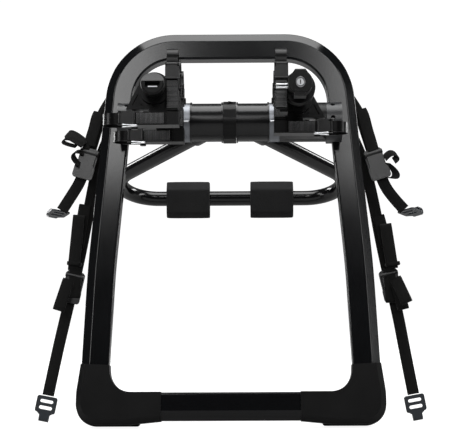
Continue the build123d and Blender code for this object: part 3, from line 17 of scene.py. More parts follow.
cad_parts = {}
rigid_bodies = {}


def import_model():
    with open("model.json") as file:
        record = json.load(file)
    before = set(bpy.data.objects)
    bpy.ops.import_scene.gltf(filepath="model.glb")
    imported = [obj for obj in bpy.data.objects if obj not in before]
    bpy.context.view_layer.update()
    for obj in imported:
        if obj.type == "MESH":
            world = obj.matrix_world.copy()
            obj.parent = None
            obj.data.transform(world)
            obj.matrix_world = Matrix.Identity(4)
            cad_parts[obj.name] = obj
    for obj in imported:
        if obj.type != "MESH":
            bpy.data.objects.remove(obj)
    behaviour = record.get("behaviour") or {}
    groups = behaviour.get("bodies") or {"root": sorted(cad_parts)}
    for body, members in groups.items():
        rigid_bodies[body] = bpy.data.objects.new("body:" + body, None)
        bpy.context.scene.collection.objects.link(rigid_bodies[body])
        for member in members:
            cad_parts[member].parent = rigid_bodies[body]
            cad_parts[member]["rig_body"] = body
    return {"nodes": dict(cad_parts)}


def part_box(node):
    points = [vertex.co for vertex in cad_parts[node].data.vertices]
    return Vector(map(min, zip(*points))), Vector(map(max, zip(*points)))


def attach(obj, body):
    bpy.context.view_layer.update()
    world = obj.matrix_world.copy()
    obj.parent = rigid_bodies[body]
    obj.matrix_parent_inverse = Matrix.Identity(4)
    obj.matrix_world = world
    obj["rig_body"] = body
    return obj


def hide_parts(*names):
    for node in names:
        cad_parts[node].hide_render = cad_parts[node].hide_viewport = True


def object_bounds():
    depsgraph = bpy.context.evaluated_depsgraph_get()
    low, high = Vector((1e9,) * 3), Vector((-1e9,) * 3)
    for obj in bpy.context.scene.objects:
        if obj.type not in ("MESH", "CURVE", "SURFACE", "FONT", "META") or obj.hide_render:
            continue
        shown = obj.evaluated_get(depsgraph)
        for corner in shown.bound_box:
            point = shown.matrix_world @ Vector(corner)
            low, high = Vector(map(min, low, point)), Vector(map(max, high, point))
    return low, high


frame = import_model()
cad_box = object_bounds()
nodes = frame["nodes"]

# %% [markdown]
# ## The camera
# The picture was taken almost level, from the side where the bikes hang, a little to the right of
# the middle and a little below the pads. A long lens keeps the two legs nearly parallel, so the
# camera stands 2.6 m away. Its numbers were fitted until the ends and corners of the rack fell
# where the picture shows them.

# %% Place the camera
IMAGE_WIDTH = 470
FOCAL_PIXELS = 1575.8
SENSOR_WIDTH = 36.0
CAMERA_PLACE = (0.0301, -2.57335, 0.3068)
CAMERA_YAW, CAMERA_PITCH, CAMERA_ROLL = radians(0.49), radians(0.64), radians(-0.28)

camera_data = bpy.data.cameras.new("studio_camera")
camera_data.sensor_width = SENSOR_WIDTH
camera_data.lens = FOCAL_PIXELS / IMAGE_WIDTH * camera_data.sensor_width
camera_data.clip_start, camera_data.clip_end = 0.1, 30.0
camera = bpy.data.objects.new("studio_camera", camera_data)
camera.matrix_world = (
    Matrix.Translation(CAMERA_PLACE) @ Matrix.Rotation(CAMERA_YAW, 4, "Z")
    @ Matrix.Rotation(pi / 2 + CAMERA_PITCH, 4, "X") @ Matrix.Rotation(CAMERA_ROLL, 4, "Z")
)
bpy.context.scene.collection.objects.link(camera)
bpy.context.scene.camera = camera
print("lens", round(camera_data.lens, 1), "mm")

# %% [markdown]
# ## Directions of the leaning arch
# The arch leans 8.5 degrees towards the vehicle. Points on it are easiest to give as a distance
# across, a distance up along the legs and a distance forward of its middle plane. The arms rise
# 4.2 degrees from the hub towards the camera.

# %% Points on the leaning arch
MILLI = 1000
ARCH_LEAN = radians(8.5)
ARCH_UP = Vector((0, sin(ARCH_LEAN), cos(ARCH_LEAN)))
ARCH_FRONT = Vector((0, -cos(ARCH_LEAN), sin(ARCH_LEAN)))
HUB_UP, HUB_FORWARD = 0.4948, 0.0485
HUB_CENTRE = ARCH_UP * HUB_UP + ARCH_FRONT * HUB_FORWARD
ARM_RISE = radians(4.2)
ARM_WAY = Vector((0, -cos(ARM_RISE), sin(ARM_RISE)))
ARM_UP = Vector((0, sin(ARM_RISE), cos(ARM_RISE)))
ARM_X = 0.104
SIDES = ((-1, "left"), (1, "right"))
SIGNS = {name: side for side, name in SIDES}


def arch_point(across, up, forward=0.0):
    return Vector((across, 0, 0)) + ARCH_UP * up + ARCH_FRONT * forward


def link(name, mesh):
    """A new object at the origin that shows this mesh."""
    piece = bpy.data.objects.new(name, mesh)
    bpy.context.scene.collection.objects.link(piece)
    return piece


# %% [markdown]
# ## The four webbing straps
# Each strap is one flat woven band. It leaves a wire loop behind the leg, runs through a cam
# buckle, and ends at the bar of its hook. The band follows a smooth NURBS line through its route.
# Geometry Nodes sweep the flat section of the band along that line and keep its wide face turned
# to the viewer.

# %% Routes of the straps
WEB_WIDTH = 0.0195
WEB_THICK = 0.0018
WEB_EDGE, WEB_EDGE_STEPS = 0.0008, 3
WEB_STEP = 0.003
LINE_STEPS = 16
# Each route has its distance behind the arch in metres, and places across and up in millimetres
STRAP_ROUTES = {
    "upper_strap_left": (0.0244, [(-176, 588), (-216, 538), (-233, 478), (-251, 415),
                                  (-267, 388), (-284, 361)]),
    "upper_strap_right": (0.0244, [(176, 588), (217, 537), (234, 478), (256, 408),
                                   (272, 382), (292, 360)]),
    "lower_strap_left": (0.0360, [(-187, 530), (-221, 466), (-236, 386), (-253, 286),
                                  (-275, 190), (-291, 118), (-304, 52)]),
    "lower_strap_right": (0.0360, [(187, 530), (221, 466), (240, 386), (256, 288),
                                   (278, 190), (290, 118), (302, 52)]),
}


def smooth_line(points, name):
    """Vertices of a NURBS line of order 3 that starts and ends on its first and last point."""
    curve = bpy.data.curves.new(name, "CURVE")
    curve.dimensions = "3D"
    curve.resolution_u = LINE_STEPS
    spline = curve.splines.new("NURBS")
    spline.points.add(len(points) - 1)
    for point, place in zip(spline.points, points):
        point.co = (*place, 1.0)
    spline.order_u = 3
    spline.use_endpoint_u = True
    holder = link(name, curve)
    bpy.context.view_layer.update()
    depsgraph = bpy.context.evaluated_depsgraph_get()
    flat = bpy.data.meshes.new_from_object(holder.evaluated_get(depsgraph))
    line = [v.co.copy() for v in flat.vertices]
    bpy.data.objects.remove(holder)
    bpy.data.meshes.remove(flat)
    bpy.data.curves.remove(curve)
    return line


def line_mesh(points, name):
    mesh = bpy.data.meshes.new(name)
    edges = [(i, i + 1) for i in range(len(points) - 1)]
    mesh.from_pydata([tuple(p) for p in points], edges, [])
    return mesh


# %% [markdown]
# A Geometry Nodes tree is built by hand below. `tree_of` makes the group with its named inputs,
# and `bake` puts it on an object, sets the inputs by their identifiers, and swaps the object's
# mesh for the finished result, so that no modifier is left on the piece.

# %% Helpers for node trees
def tree_of(name, inputs):
    """An empty Geometry Nodes group with named inputs, each a (name, socket type, default)."""
    tree = bpy.data.node_groups.new(name, "GeometryNodeTree")
    tree.interface.new_socket("Geometry", in_out="INPUT", socket_type="NodeSocketGeometry")
    for label, kind, default in inputs:
        socket = tree.interface.new_socket(label, in_out="INPUT", socket_type=kind)
        if default is not None:
            socket.default_value = default
    tree.interface.new_socket("Geometry", in_out="OUTPUT", socket_type="NodeSocketGeometry")
    return tree, tree.nodes.new("NodeGroupInput"), tree.nodes.new("NodeGroupOutput")


def step(tree, kind, values=(), **settings):
    """A node with its settings, and its inputs given as {name or number: value or socket}."""
    node = tree.nodes.new(kind)
    for key, value in settings.items():
        setattr(node, key, value)
    for key, value in dict(values).items():
        if isinstance(value, bpy.types.NodeSocket):
            tree.links.new(value, node.inputs[key])
        else:
            node.inputs[key].default_value = value
    return node


def bake(piece, tree, **values):
    """Runs a tree on a piece with these inputs, and keeps the result as a plain mesh."""
    modifier = piece.modifiers.new("shape", "NODES")
    modifier.node_group = tree
    names = {s.name: s.identifier for s in tree.interface.items_tree if s.in_out == "INPUT"}
    for key, value in values.items():
        modifier[names[key]] = value
    bpy.context.view_layer.update()
    depsgraph = bpy.context.evaluated_depsgraph_get()
    made = bpy.data.meshes.new_from_object(piece.evaluated_get(depsgraph))
    piece.modifiers.remove(modifier)
    piece.data = made
    return piece


# %% The tree that weaves a band along a line
webbing_tree, band_in, band_out = tree_of("webbing_band", [
    ("Width", "NodeSocketFloat", WEB_WIDTH), ("Thickness", "NodeSocketFloat", WEB_THICK),
    ("Facing", "NodeSocketVector", tuple(ARCH_FRONT)), ("Material", "NodeSocketMaterial", None),
])
to_curve = step(webbing_tree, "GeometryNodeMeshToCurve", {"Mesh": band_in.outputs["Geometry"]})
even = step(webbing_tree, "GeometryNodeResampleCurve",
            {"Curve": to_curve.outputs[0], "Length": WEB_STEP}, mode="LENGTH")
turned = step(webbing_tree, "GeometryNodeSetCurveNormal",
              {"Curve": even.outputs[0], "Normal": band_in.outputs["Facing"]}, mode="FREE")
along = step(webbing_tree, "GeometryNodeSplineParameter")
keep_along = step(webbing_tree, "GeometryNodeCaptureAttribute", {"Geometry": turned.outputs[0]})
keep_along.capture_items.new("FLOAT", "Along")
webbing_tree.links.new(along.outputs["Length"], keep_along.inputs["Along"])
section = step(webbing_tree, "GeometryNodeCurvePrimitiveQuadrilateral",
               {"Width": band_in.outputs["Thickness"], "Height": band_in.outputs["Width"]})
soft_edge = step(webbing_tree, "GeometryNodeFilletCurve",
                 {"Curve": section.outputs[0], "Radius": WEB_EDGE, "Count": WEB_EDGE_STEPS}, mode="POLY")
section_place = step(webbing_tree, "GeometryNodeInputPosition")
keep_across = step(webbing_tree, "GeometryNodeCaptureAttribute", {"Geometry": soft_edge.outputs[0]})
keep_across.capture_items.new("VECTOR", "Across")
webbing_tree.links.new(section_place.outputs[0], keep_across.inputs["Across"])
swept = step(webbing_tree, "GeometryNodeCurveToMesh",
             {"Curve": keep_along.outputs[0], "Profile Curve": keep_across.outputs[0], "Fill Caps": True})
split = step(webbing_tree, "ShaderNodeSeparateXYZ", {0: keep_across.outputs["Across"]})
pair = step(webbing_tree, "ShaderNodeCombineXYZ", {0: split.outputs[1], 1: keep_along.outputs["Along"]})
stored = step(webbing_tree, "GeometryNodeStoreNamedAttribute",
              {"Geometry": swept.outputs[0], "Name": "weave", "Value": pair.outputs[0]},
              data_type="FLOAT_VECTOR", domain="POINT")
painted = step(webbing_tree, "GeometryNodeSetMaterial",
               {"Geometry": stored.outputs[0], "Material": band_in.outputs["Material"]})
webbing_tree.links.new(painted.outputs[0], band_out.inputs[0])

# %% Weave the four bands
webbing_look = bpy.data.materials.new("webbing_black")
for name, (back, route) in STRAP_ROUTES.items():
    places = [arch_point(across / MILLI, up / MILLI, -back) for across, up in route]
    line = smooth_line(places, name + "_line")
    band = bake(link(name + "_band", line_mesh(line, name)), webbing_tree, Material=webbing_look)
    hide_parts(name)
    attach(band, frame["nodes"][name]["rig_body"])

# %% [markdown]
# ## The two foam pads
# Each pad is a block of closed-cell foam pushed over the rear bar, with broad bevels and rounded
# edges. It draws in a little towards its ends, and its skin closes round the tube there.

# %% Helpers for rounded outlines and skins
ARC_STEPS = 8
LEAST_SLOPE = 0.05
EDGE_SHARE = 0.48


def rounded_outline(corners, radius, count):
    """Points evenly spaced round a polygon whose corners are arcs of about this radius."""
    steps = []
    for before, corner, after in zip(corners[-1:] + corners[:-1], corners, corners[1:] + corners[:1]):
        back, on = (before - corner), (after - corner)
        half = back.angle(on) / 2
        slope = max(LEAST_SLOPE, abs(sin(half) / cos(half)))
        cut = min(radius / slope, back.length * EDGE_SHARE, on.length * EDGE_SHARE)
        start, end = corner + back.normalized() * cut, corner + on.normalized() * cut
        for k in range(ARC_STEPS + 1):
            t = k / ARC_STEPS
            steps.append(start * (1 - t) ** 2 + corner * 2 * t * (1 - t) + end * t ** 2)
    lengths = [0.0]
    for a, b in zip(steps, steps[1:] + steps[:1]):
        lengths.append(lengths[-1] + (b - a).length)
    outline, place = [], 0
    for k in range(count):
        target = lengths[-1] * k / count
        while lengths[place + 1] < target:
            place += 1
        a, b = steps[place], steps[(place + 1) % len(steps)]
        gap = lengths[place + 1] - lengths[place]
        outline.append(a.lerp(b, (target - lengths[place]) / gap if gap else 0))
    return outline


def skin(name, rings, closed_ends=False):
    """A mesh over rings of points with the same count, joined one after another."""
    count = len(rings[0])
    faces = [
        (r * count + k, r * count + (k + 1) % count, (r + 1) * count + (k + 1) % count, (r + 1) * count + k)
        for r in range(len(rings) - 1) for k in range(count)
    ]
    if closed_ends:
        faces += [tuple(range(count))[::-1], tuple((len(rings) - 1) * count + k for k in range(count))]
    mesh = bpy.data.meshes.new(name)
    mesh.from_pydata([tuple(p) for ring in rings for p in ring], [], faces)
    work = bmesh.new()
    work.from_mesh(mesh)
    bmesh.ops.recalc_face_normals(work, faces=work.faces)
    work.to_mesh(mesh)
    work.free()
    mesh.polygons.foreach_set("use_smooth", [True] * len(mesh.polygons))
    return mesh


def box_corners(half_wide, half_high):
    """The four corners of a rectangle about the origin, in turn."""
    return [Vector(p) for p in ((-half_wide, -half_high), (half_wide, -half_high),
                                (half_wide, half_high), (-half_wide, half_high))]


# %% Shape the foam pads
BAR_RADIUS = 0.0133
FOAM_TOP_BEVEL, FOAM_LOW_BEVEL, FOAM_BACK_BEVEL = 0.0150, 0.0090, 0.0080
# The skin lies this far inside the pad's CAD outline
FOAM_SHRINK = 0.00045
FOAM_EASE = 0.0022
FOAM_POINTS = 96
FOAM_CLOSED = 0.0300
# Depth of each ring from the pad's end, and how far the outline is drawn in there
FOAM_DRAWS = ((0.0, FOAM_CLOSED), (0.0002, 0.0022), (0.0008, 0.0010), (0.0020, 0.0004),
              (0.0080, 0.0002), (0.0160, 0.0))

foam_look = bpy.data.materials.new("foam_black")
bar_low, bar_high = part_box("pad_tube")
tube = Vector((bar_high.y - BAR_RADIUS, bar_low.z + BAR_RADIUS))
for side, name in SIDES:
    low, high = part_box(f"foam_pad_{name}")
    corners = [Vector(pair) for pair in (
        (low.y, low.z + FOAM_LOW_BEVEL), (low.y + FOAM_LOW_BEVEL, low.z),
        (high.y - FOAM_BACK_BEVEL, low.z), (high.y, low.z + FOAM_BACK_BEVEL),
        (high.y, high.z - FOAM_BACK_BEVEL), (high.y - FOAM_BACK_BEVEL, high.z),
        (low.y + FOAM_TOP_BEVEL, high.z), (low.y, high.z - FOAM_TOP_BEVEL),
    )]
    outline = rounded_outline(corners, FOAM_EASE, FOAM_POINTS)
    middle = Vector(((low.y + high.y) / 2, (low.z + high.z) / 2))
    rings = []
    for end, inward, draws in ((low.x, 1, FOAM_DRAWS), (high.x, -1, FOAM_DRAWS[::-1])):
        for depth, draw in draws:
            ring = []
            for point in outline:
                if draw == FOAM_CLOSED:
                    drawn = tube + (point - tube).normalized() * BAR_RADIUS
                else:
                    out = point - middle
                    drawn = middle + out * (1 - (draw + FOAM_SHRINK) / out.length)
                ring.append((end + inward * depth, drawn.x, drawn.y))
            rings.append(ring)
    pad = link(f"foam_{name}", skin(f"foam_{name}", rings))
    pad.data.materials.append(foam_look)
    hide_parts(f"foam_pad_{name}")
    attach(pad, nodes["pad_tube"]["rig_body"])
    print(name, "pad faces", len(pad.data.polygons))

# %% [markdown]
# ## Spare webbing and keepers
# The spare length of each lower strap is folded to and fro into bundles, and a keeper loops round
# them. A fold turns in depth, so its band keeps one width direction all along, and the tree above
# sweeps it too. The tail fold of each side lies on the cam lever and turns with it. The spare end
# of each upper strap stands away from its buckle in open loops.

# %% Helpers for loose webbing
FOLD_STEP = 0.0030
FOLD_LOW_SHARE, FOLD_HIGH_SHARE = 0.9, 1.4
KEEPER_THICK = 0.0012
KEEPER_LENGTH = 0.0055
KEEPER_POINTS = 40
KEEPER_ROUND_SHARE = 0.7
# Place of each ring along the keeper, and its size there
KEEPER_SHARES = ((0, 0.98), (0.12, 1), (0.88, 1), (1, 0.98))


def spot(place, forward):
    """A point of the leaning arch from places across and up and a forward distance, in millimetres."""
    return arch_point(place[0] / MILLI, place[1] / MILLI, forward / MILLI)


def loose_band(name, points, across_way, width=WEB_WIDTH):
    """Webbing along a smooth line through these points, with its width in one fixed direction."""
    band = link(name, line_mesh(smooth_line(points, name + "_line"), name))
    return bake(band, webbing_tree, Width=WEB_THICK, Thickness=width, Facing=tuple(across_way),
                Material=webbing_look)


def folded(start, way, length, folds):
    """Points of webbing folded to and fro along way, each layer a step further forward and shorter."""
    points = []
    for layer in range(folds):
        low, high = FOLD_STEP * layer * FOLD_LOW_SHARE, length - FOLD_STEP * layer * FOLD_HIGH_SHARE
        ends = (low, high) if layer % 2 == 0 else (high, low)
        lift = ARCH_FRONT * (FOLD_STEP * layer)
        points += [start + way * place + lift for place in (ends[0], length / 2, ends[1])]
        if layer < folds - 1:
            beyond = FOLD_STEP if ends[1] > ends[0] else -FOLD_STEP
            points.append(start + way * (ends[1] + beyond) + lift + ARCH_FRONT * (FOLD_STEP / 2))
    return points


def wear(piece, carrier):
    """Lets a piece of webbing ride on the carrier's body."""
    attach(piece, nodes[carrier]["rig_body"])


def keeper(name, centre, way, across, width, depth):
    """A flat loop round a bundle: a rounded rectangle that runs round its width and depth."""
    half_wide, half_deep = width / 2 + KEEPER_THICK, depth / 2 + KEEPER_THICK
    corners = box_corners(half_wide, half_deep)
    outline = rounded_outline(corners, half_deep * KEEPER_ROUND_SHARE, KEEPER_POINTS)
    rings = []
    for share, size in KEEPER_SHARES:
        base = centre + way * (KEEPER_LENGTH * (share - 0.5))
        rings.append([base + across * (p.x * size) + ARCH_FRONT * (p.y * size) for p in outline])
    return link(name, skin(name, rings, closed_ends=True))


# %% Fold the spare webbing of the lower straps
# Each bundle has the piece that it rides on, where it starts and ends across and up, its forward
# place, all in millimetres, and its number of layers
BUNDLES = {
    "left_short_fold": ("lower_strap_left", (-246, 373), (-257, 300), -33.4, 2),
    "left_long_fold": ("lower_strap_left", (-255, 354), (-263, 262), -27.0, 3),
    "left_tail_fold": ("lower_cam_lever_left", (-269, 243), (-285, 193), -9.0, 2),
    "left_under_fold": ("lower_strap_left", (-260, 266), (-262, 214), -28.5, 2),
    "right_short_fold": ("lower_strap_right", (249, 352), (262, 300), -33.4, 2),
    "right_long_fold": ("lower_strap_right", (260, 336), (270, 262), -27.0, 3),
    "right_tail_fold": ("lower_cam_lever_right", (273, 243), (291, 203), -9.0, 2),
    "right_under_fold": ("lower_strap_right", (265, 262), (268, 205), -28.5, 2),
    "right_last_fold": ("lower_strap_right", (276, 236), (287, 193), -26.0, 2),
}
# Each keeper has its own place and one lower on the bundle that it goes round, across and up
KEEPERS = {"left": ((-262, 271), (-266, 240)), "right": ((271, 268), (276, 240))}
KEEPER_FORWARD = -27.5
KEEPER_SLACK, KEEPER_DEPTH = 0.003, 0.0150

for name, (carrier, start, end, forward, folds) in BUNDLES.items():
    first, last = spot(start, forward), spot(end, forward)
    way = (last - first).normalized()
    across = way.cross(ARCH_FRONT).normalized()
    wear(loose_band(name, folded(first, way, (last - first).length, folds), across), carrier)
for name, (place, end) in KEEPERS.items():
    centre = spot(place, KEEPER_FORWARD)
    way = (spot(end, KEEPER_FORWARD) - centre).normalized()
    across = way.cross(ARCH_FRONT).normalized()
    band = keeper(f"lower_keeper_{name}", centre, way, across, WEB_WIDTH + KEEPER_SLACK, KEEPER_DEPTH)
    band.data.materials.append(webbing_look)
    wear(band, f"lower_strap_{name}")

# %% Loose loops of the upper straps
# Each loop is a list of places across, up and forward in millimetres, and the shares of the side
# and of up in the direction of its width
LOOPS = {
    "left_top_loop": ([(-238, 468, -19), (-252, 482, -16), (-270, 492, -10), (-277, 489, -3),
                       (-262, 480, -1), (-246, 470, -5)], (0.55, 0.83)),
    "left_low_loop": ([(-243, 476, -16), (-258, 478, -10), (-276, 483, -8), (-284, 476, -5),
                       (-272, 470, -4), (-259, 468, -8)], (0.10, 0.30)),
    "left_end_loop": ([(-246, 458, -14), (-258, 462, -12), (-266, 455, -10), (-262, 444, -8),
                       (-254, 438, -10)], (0.20, 0.35)),
    "right_top_loop": ([(260, 447, -18), (267, 455, -13), (277, 454, -8), (283, 446, -5),
                        (274, 440, -6)], (0.25, 0.60)),
    "right_low_loop": ([(262, 438, -14), (272, 430, -12), (279, 418, -8), (275, 409, -6),
                        (266, 412, -9)], (0.60, 0.20)),
}
LOOP_BACK_SHARE, LOOP_WIDTH_SHARE = 0.6, 0.9
# The spare length that lies on the upper straps above their buckles
SPARES = {
    "left": [(-222, 530, -22), (-226, 524, -21), (-231, 500, -21), (-236, 484, -20), (-238, 472, -19)],
    "right": [(221, 533, -22), (226, 524, -21), (232, 496, -21), (239, 472, -20), (246, 440, -17)],
}

for name, (places, (side_share, up_share)) in LOOPS.items():
    side_name = name.split("_")[0]
    sideways = Vector((-SIGNS[side_name] * side_share, 0, 0))
    across = (sideways + ARCH_UP * up_share - ARCH_FRONT * LOOP_BACK_SHARE).normalized()
    points = [spot(p[:2], p[2]) for p in places]
    wear(loose_band(name, points, across, WEB_WIDTH * LOOP_WIDTH_SHARE), f"upper_strap_{side_name}")
for name, places in SPARES.items():
    points = [spot(p[:2], p[2]) for p in places]
    across = (points[-1] - points[0]).normalized().cross(ARCH_FRONT).normalized()
    wear(loose_band(f"{name}_spare", points, across), f"upper_strap_{name}")
print("loose webbing pieces", len(BUNDLES) + len(LOOPS) + len(SPARES))

# %% [markdown]
# ## Small bright parts
# Two short polished bars join the locking arm's end to its first cradle. Each sway cradle's
# buckle has a polished spring fork beside its strap, and a pin shows in the slit of each of the
# hub's two collars.

# %% Helpers for bars and places by an arm
ROD_SIDES = 20


def rod(name, start, end, radius, rider, waist=1.0):
    """A turned bright bar between two points, with rounded ends and perhaps a thinner waist."""
    way = (end - start).normalized()
    one = way.orthogonal().normalized()
    two = way.cross(one)
    length = (end - start).length
    turns = [2 * pi * k / ROD_SIDES for k in range(ROD_SIDES)]
    rings = []
    # Place of each ring along the bar, and its size there
    for share, size in ((0, 0.55), (0.03, 0.85), (0.08, 1.0), (0.3, waist), (0.7, waist),
                        (0.92, 1.0), (0.97, 0.85), (1, 0.55)):
        centre = start + way * (length * share)
        rings.append([
            centre + one * (cos(t) * radius * size) + two * (sin(t) * radius * size) for t in turns
        ])
    piece = link(name, skin(name, rings, closed_ends=True))
    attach(piece, nodes[rider]["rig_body"])
    return piece


def arm_point(side, along, across, up):
    """A point by an arm: along it from the hub, across outward from its axis, and up."""
    return HUB_CENTRE + Vector((side * (ARM_X + across), 0, 0)) + ARM_WAY * along + ARM_UP * up


# %% Bars, forks and pins
# How far along its arm each cradle sits, and which of the cradles hang on a sway leg
STATIONS = {"far": 0.150, "middle": 0.240, "near": 0.330}
SWAY_UNITS = (("left", "near"), ("left", "far"), ("right", "middle"))
LOCK_BAR_RADIUS, LOCK_BAR_RISE = 0.0016, 0.0023
LOCK_BAR_ALONG, LOCK_BAR_START, LOCK_BAR_END = 0.3565, -0.0340, -0.0165
LOCK_BAR_WAIST = 0.88
# A fork starts and ends at these places across and up by its arm, and its lower tine spreads down
FORK_RADIUS, FORK_WAIST = 0.0011, 0.7
FORK_AHEAD, FORK_SPREAD, FORK_ROOT_SHARE = 0.0275, -0.0035, 0.3
FORK_START, FORK_END = (0.0235, -0.0555), (0.0455, -0.0545)
COLLAR_PIN_RADIUS, COLLAR_PIN_X = 0.0011, 0.0660
COLLAR_PIN_LENGTH, COLLAR_PIN_PROUD = 0.0145, 0.0002

bright = []
for name, rise in (("top", LOCK_BAR_RISE), ("low", -LOCK_BAR_RISE)):
    start = arm_point(1, LOCK_BAR_ALONG, LOCK_BAR_START, rise)
    end = arm_point(1, LOCK_BAR_ALONG, LOCK_BAR_END, rise)
    bright.append(rod(f"lock_bar_{name}", start, end, LOCK_BAR_RADIUS, "lock_housing", LOCK_BAR_WAIST))
for name, station in SWAY_UNITS:
    ahead = STATIONS[station] + FORK_AHEAD
    for tine, lift in (("upper", 0.0), ("lower", FORK_SPREAD)):
        start = arm_point(SIGNS[name], ahead, FORK_START[0], FORK_START[1] + lift * FORK_ROOT_SHARE)
        end = arm_point(SIGNS[name], ahead, FORK_END[0], FORK_END[1] + lift)
        bright.append(rod(f"fork_{name}_{station}_{tine}", start, end, FORK_RADIUS,
                          f"sway_strap_{name}_{station}", FORK_WAIST))
collar_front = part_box("index_collars")[0].y
for side, name in SIDES:
    start = Vector((side * COLLAR_PIN_X, collar_front - COLLAR_PIN_PROUD, HUB_CENTRE.z))
    end = start + Vector((side * COLLAR_PIN_LENGTH, 0, 0))
    bright.append(rod(f"collar_pin_{name}", start, end, COLLAR_PIN_RADIUS, "index_collars"))

# %% [markdown]
# ## Ribs of the ladder straps
# The moulded straps are the finest work on the rack. Each tail carries a row of narrow ribs that
# its buckle climbs. One rounded rib is placed, and a Geometry Nodes array repeats it.
# The ribs are painted a pale grey, far lighter than the strap's black rubber: a painted highlight along
# their tops.

# %% The tree that repeats a rib
RIB_COUNT = 22
RIB_PITCH, RIB_WIDTH, RIB_HEIGHT, RIB_FIRST = 0.0018, 0.0009, 0.0016, 0.0088

rib_tree, rib_in, rib_out = tree_of("rib_row", [
    ("Count", "NodeSocketInt", RIB_COUNT), ("Step", "NodeSocketVector", (0, 0, -RIB_PITCH)),
    ("Material", "NodeSocketMaterial", None),
])
rib_places = step(rib_tree, "GeometryNodeMeshLine",
                  {"Count": rib_in.outputs["Count"], "Offset": rib_in.outputs["Step"]})
rib_copies = step(rib_tree, "GeometryNodeInstanceOnPoints",
                  {"Points": rib_places.outputs[0], "Instance": rib_in.outputs["Geometry"]})
rib_real = step(rib_tree, "GeometryNodeRealizeInstances", {"Geometry": rib_copies.outputs[0]})
rib_painted = step(rib_tree, "GeometryNodeSetMaterial",
                   {"Geometry": rib_real.outputs[0], "Material": rib_in.outputs["Material"]})
rib_tree.links.new(rib_painted.outputs[0], rib_out.inputs[0])

# %% Rib every ladder strap
# A top cup sits inward of its arm's axis, and a sway leg's cup outward and below it. A strap's
# face is a fixed way ahead of its cup, and the ribs reach nearly to the strap's two edges.
TOWER_OUT, SWAY_SHIFT, SWAY_DROP = 0.026, 0.016, 0.0445
STRAP_FACE, STRAP_HALF = 0.0205, 0.0080
RIB_POINTS = 20
RIB_ROUND_SHARE, RIB_SPAN_SHARE = 0.35, 0.97
# Place of each ring across the strap, and the rib's size there
RIB_SHARES = ((-1, 0.6), (-0.97, 0.9), (-0.93, 1), (0.93, 1), (0.97, 0.9), (1, 0.6))


def unit_frame(side, along, sway):
    """Origin, climbing direction and sideways direction of a strap's cup."""
    if sway:
        origin = arm_point(side, along, SWAY_SHIFT, -SWAY_DROP)
        climb = Vector((side, 0, 0))
    else:
        origin = arm_point(side, along, -TOWER_OUT, 0)
        climb = ARM_UP.copy()
    return origin, climb, climb.cross(ARM_WAY)


# Painted highlight: the ribs get a pale grey instead of the strap's own black.
rib_highlight_look = bpy.data.materials.new("strap_ribs")
rib_corners = box_corners(RIB_WIDTH / 2, RIB_HEIGHT / 2)
rib_section = rounded_outline(rib_corners, RIB_WIDTH * RIB_ROUND_SHARE, RIB_POINTS)
for side, name in SIDES:
    for station, ahead in STATIONS.items():
        for kind in ("", "sway_"):
            if kind and (name, station) not in SWAY_UNITS:
                continue
            origin, climb, sideways = unit_frame(side, ahead, bool(kind))
            middle = origin + climb * RIB_FIRST + ARM_WAY * (STRAP_FACE + RIB_HEIGHT / 2)
            rings = []
            for share, size in RIB_SHARES:
                centre = middle + sideways * (STRAP_HALF * RIB_SPAN_SHARE * share)
                rings.append([centre + (climb * p.x + ARM_WAY * p.y) * size for p in rib_section])
            row_name = f"{kind}ribs_{name}_{station}"
            row = link(row_name, skin(row_name, rings, closed_ends=True))
            bake(row, rib_tree, Count=RIB_COUNT, Step=tuple(climb * -RIB_PITCH), Material=rib_highlight_look)
            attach(row, nodes[f"{kind}strap_{name}_{station}"]["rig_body"])

# %% The lock's collar, and painted shade for its keyway
LOCK_POINTS = 48
LOCK_NARROW_SHARE = 0.84
# Half height of each ring of the collar, and its place behind the front of the lock
LOCK_RINGS = ((0.0078, 0.0010), (0.0080, -0.0006), (0.0075, -0.0016), (0.0066, -0.0018),
              (0.0060, -0.0010), (0.0059, 0.0012))
KEYWAY_HALF, KEYWAY_REACH = 0.0006, 0.0030
KEYWAY_DEPTHS = (-0.0003, 0.0004)
KEYWAY_POINTS, KEYWAY_ROUND_SHARE = 24, 0.8

low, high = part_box("lock_core")
lock_centre = Vector(((low.x + high.x) / 2, low.y, (low.z + high.z) / 2))
turns = [2 * pi * k / LOCK_POINTS for k in range(LOCK_POINTS)]
rings = [
    [lock_centre + Vector((cos(t) * reach * LOCK_NARROW_SHARE, behind, sin(t) * reach)) for t in turns]
    for reach, behind in LOCK_RINGS
]
lock_collar = link("lock_collar", skin("lock_collar", rings + rings[:1]))
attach(lock_collar, nodes["lock_housing"]["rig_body"])
# The keyway is a thin black shape on the lock's face: painted shade where the key slot goes in.
corners = box_corners(KEYWAY_HALF, KEYWAY_REACH)
outline = rounded_outline(corners, KEYWAY_HALF * KEYWAY_ROUND_SHARE, KEYWAY_POINTS)
rings = [[lock_centre + Vector((p.x, depth, p.y)) for p in outline] for depth in KEYWAY_DEPTHS]
keyway_shade = link("keyway_shade", skin("keyway_shade", rings, closed_ends=True))
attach(keyway_shade, nodes["lock_core"]["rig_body"])

# %% [markdown]
# ## A plain pale studio
# Black parts are drawn by what they reflect. The floor, the backdrop and the world are white to
# the camera. Reflections see the two sheets paler than their own grey, and the world dim. Round
# the rack the floor is a little less than white, so that it can keep a faint shadow. Large soft
# lamps give the tubes their long highlights.

# %% Floor, backdrop and world
BACKDROP_WHITE = 1.0
FLOOR_WHITE = 0.90
MIRRORED_WHITE = 0.12
WORLD_LIGHT = 0.03
SHADOW_REACH = (0.5, 1.6)
SHEET_GREY = (0.3, 0.3, 0.3)
PLAIN_WHITE = (1, 1, 1, 1)
FLOOR_HALF = 6
BACKDROP_HALF, BACKDROP_BELOW, BACKDROP_TOP = 9, 1, 7


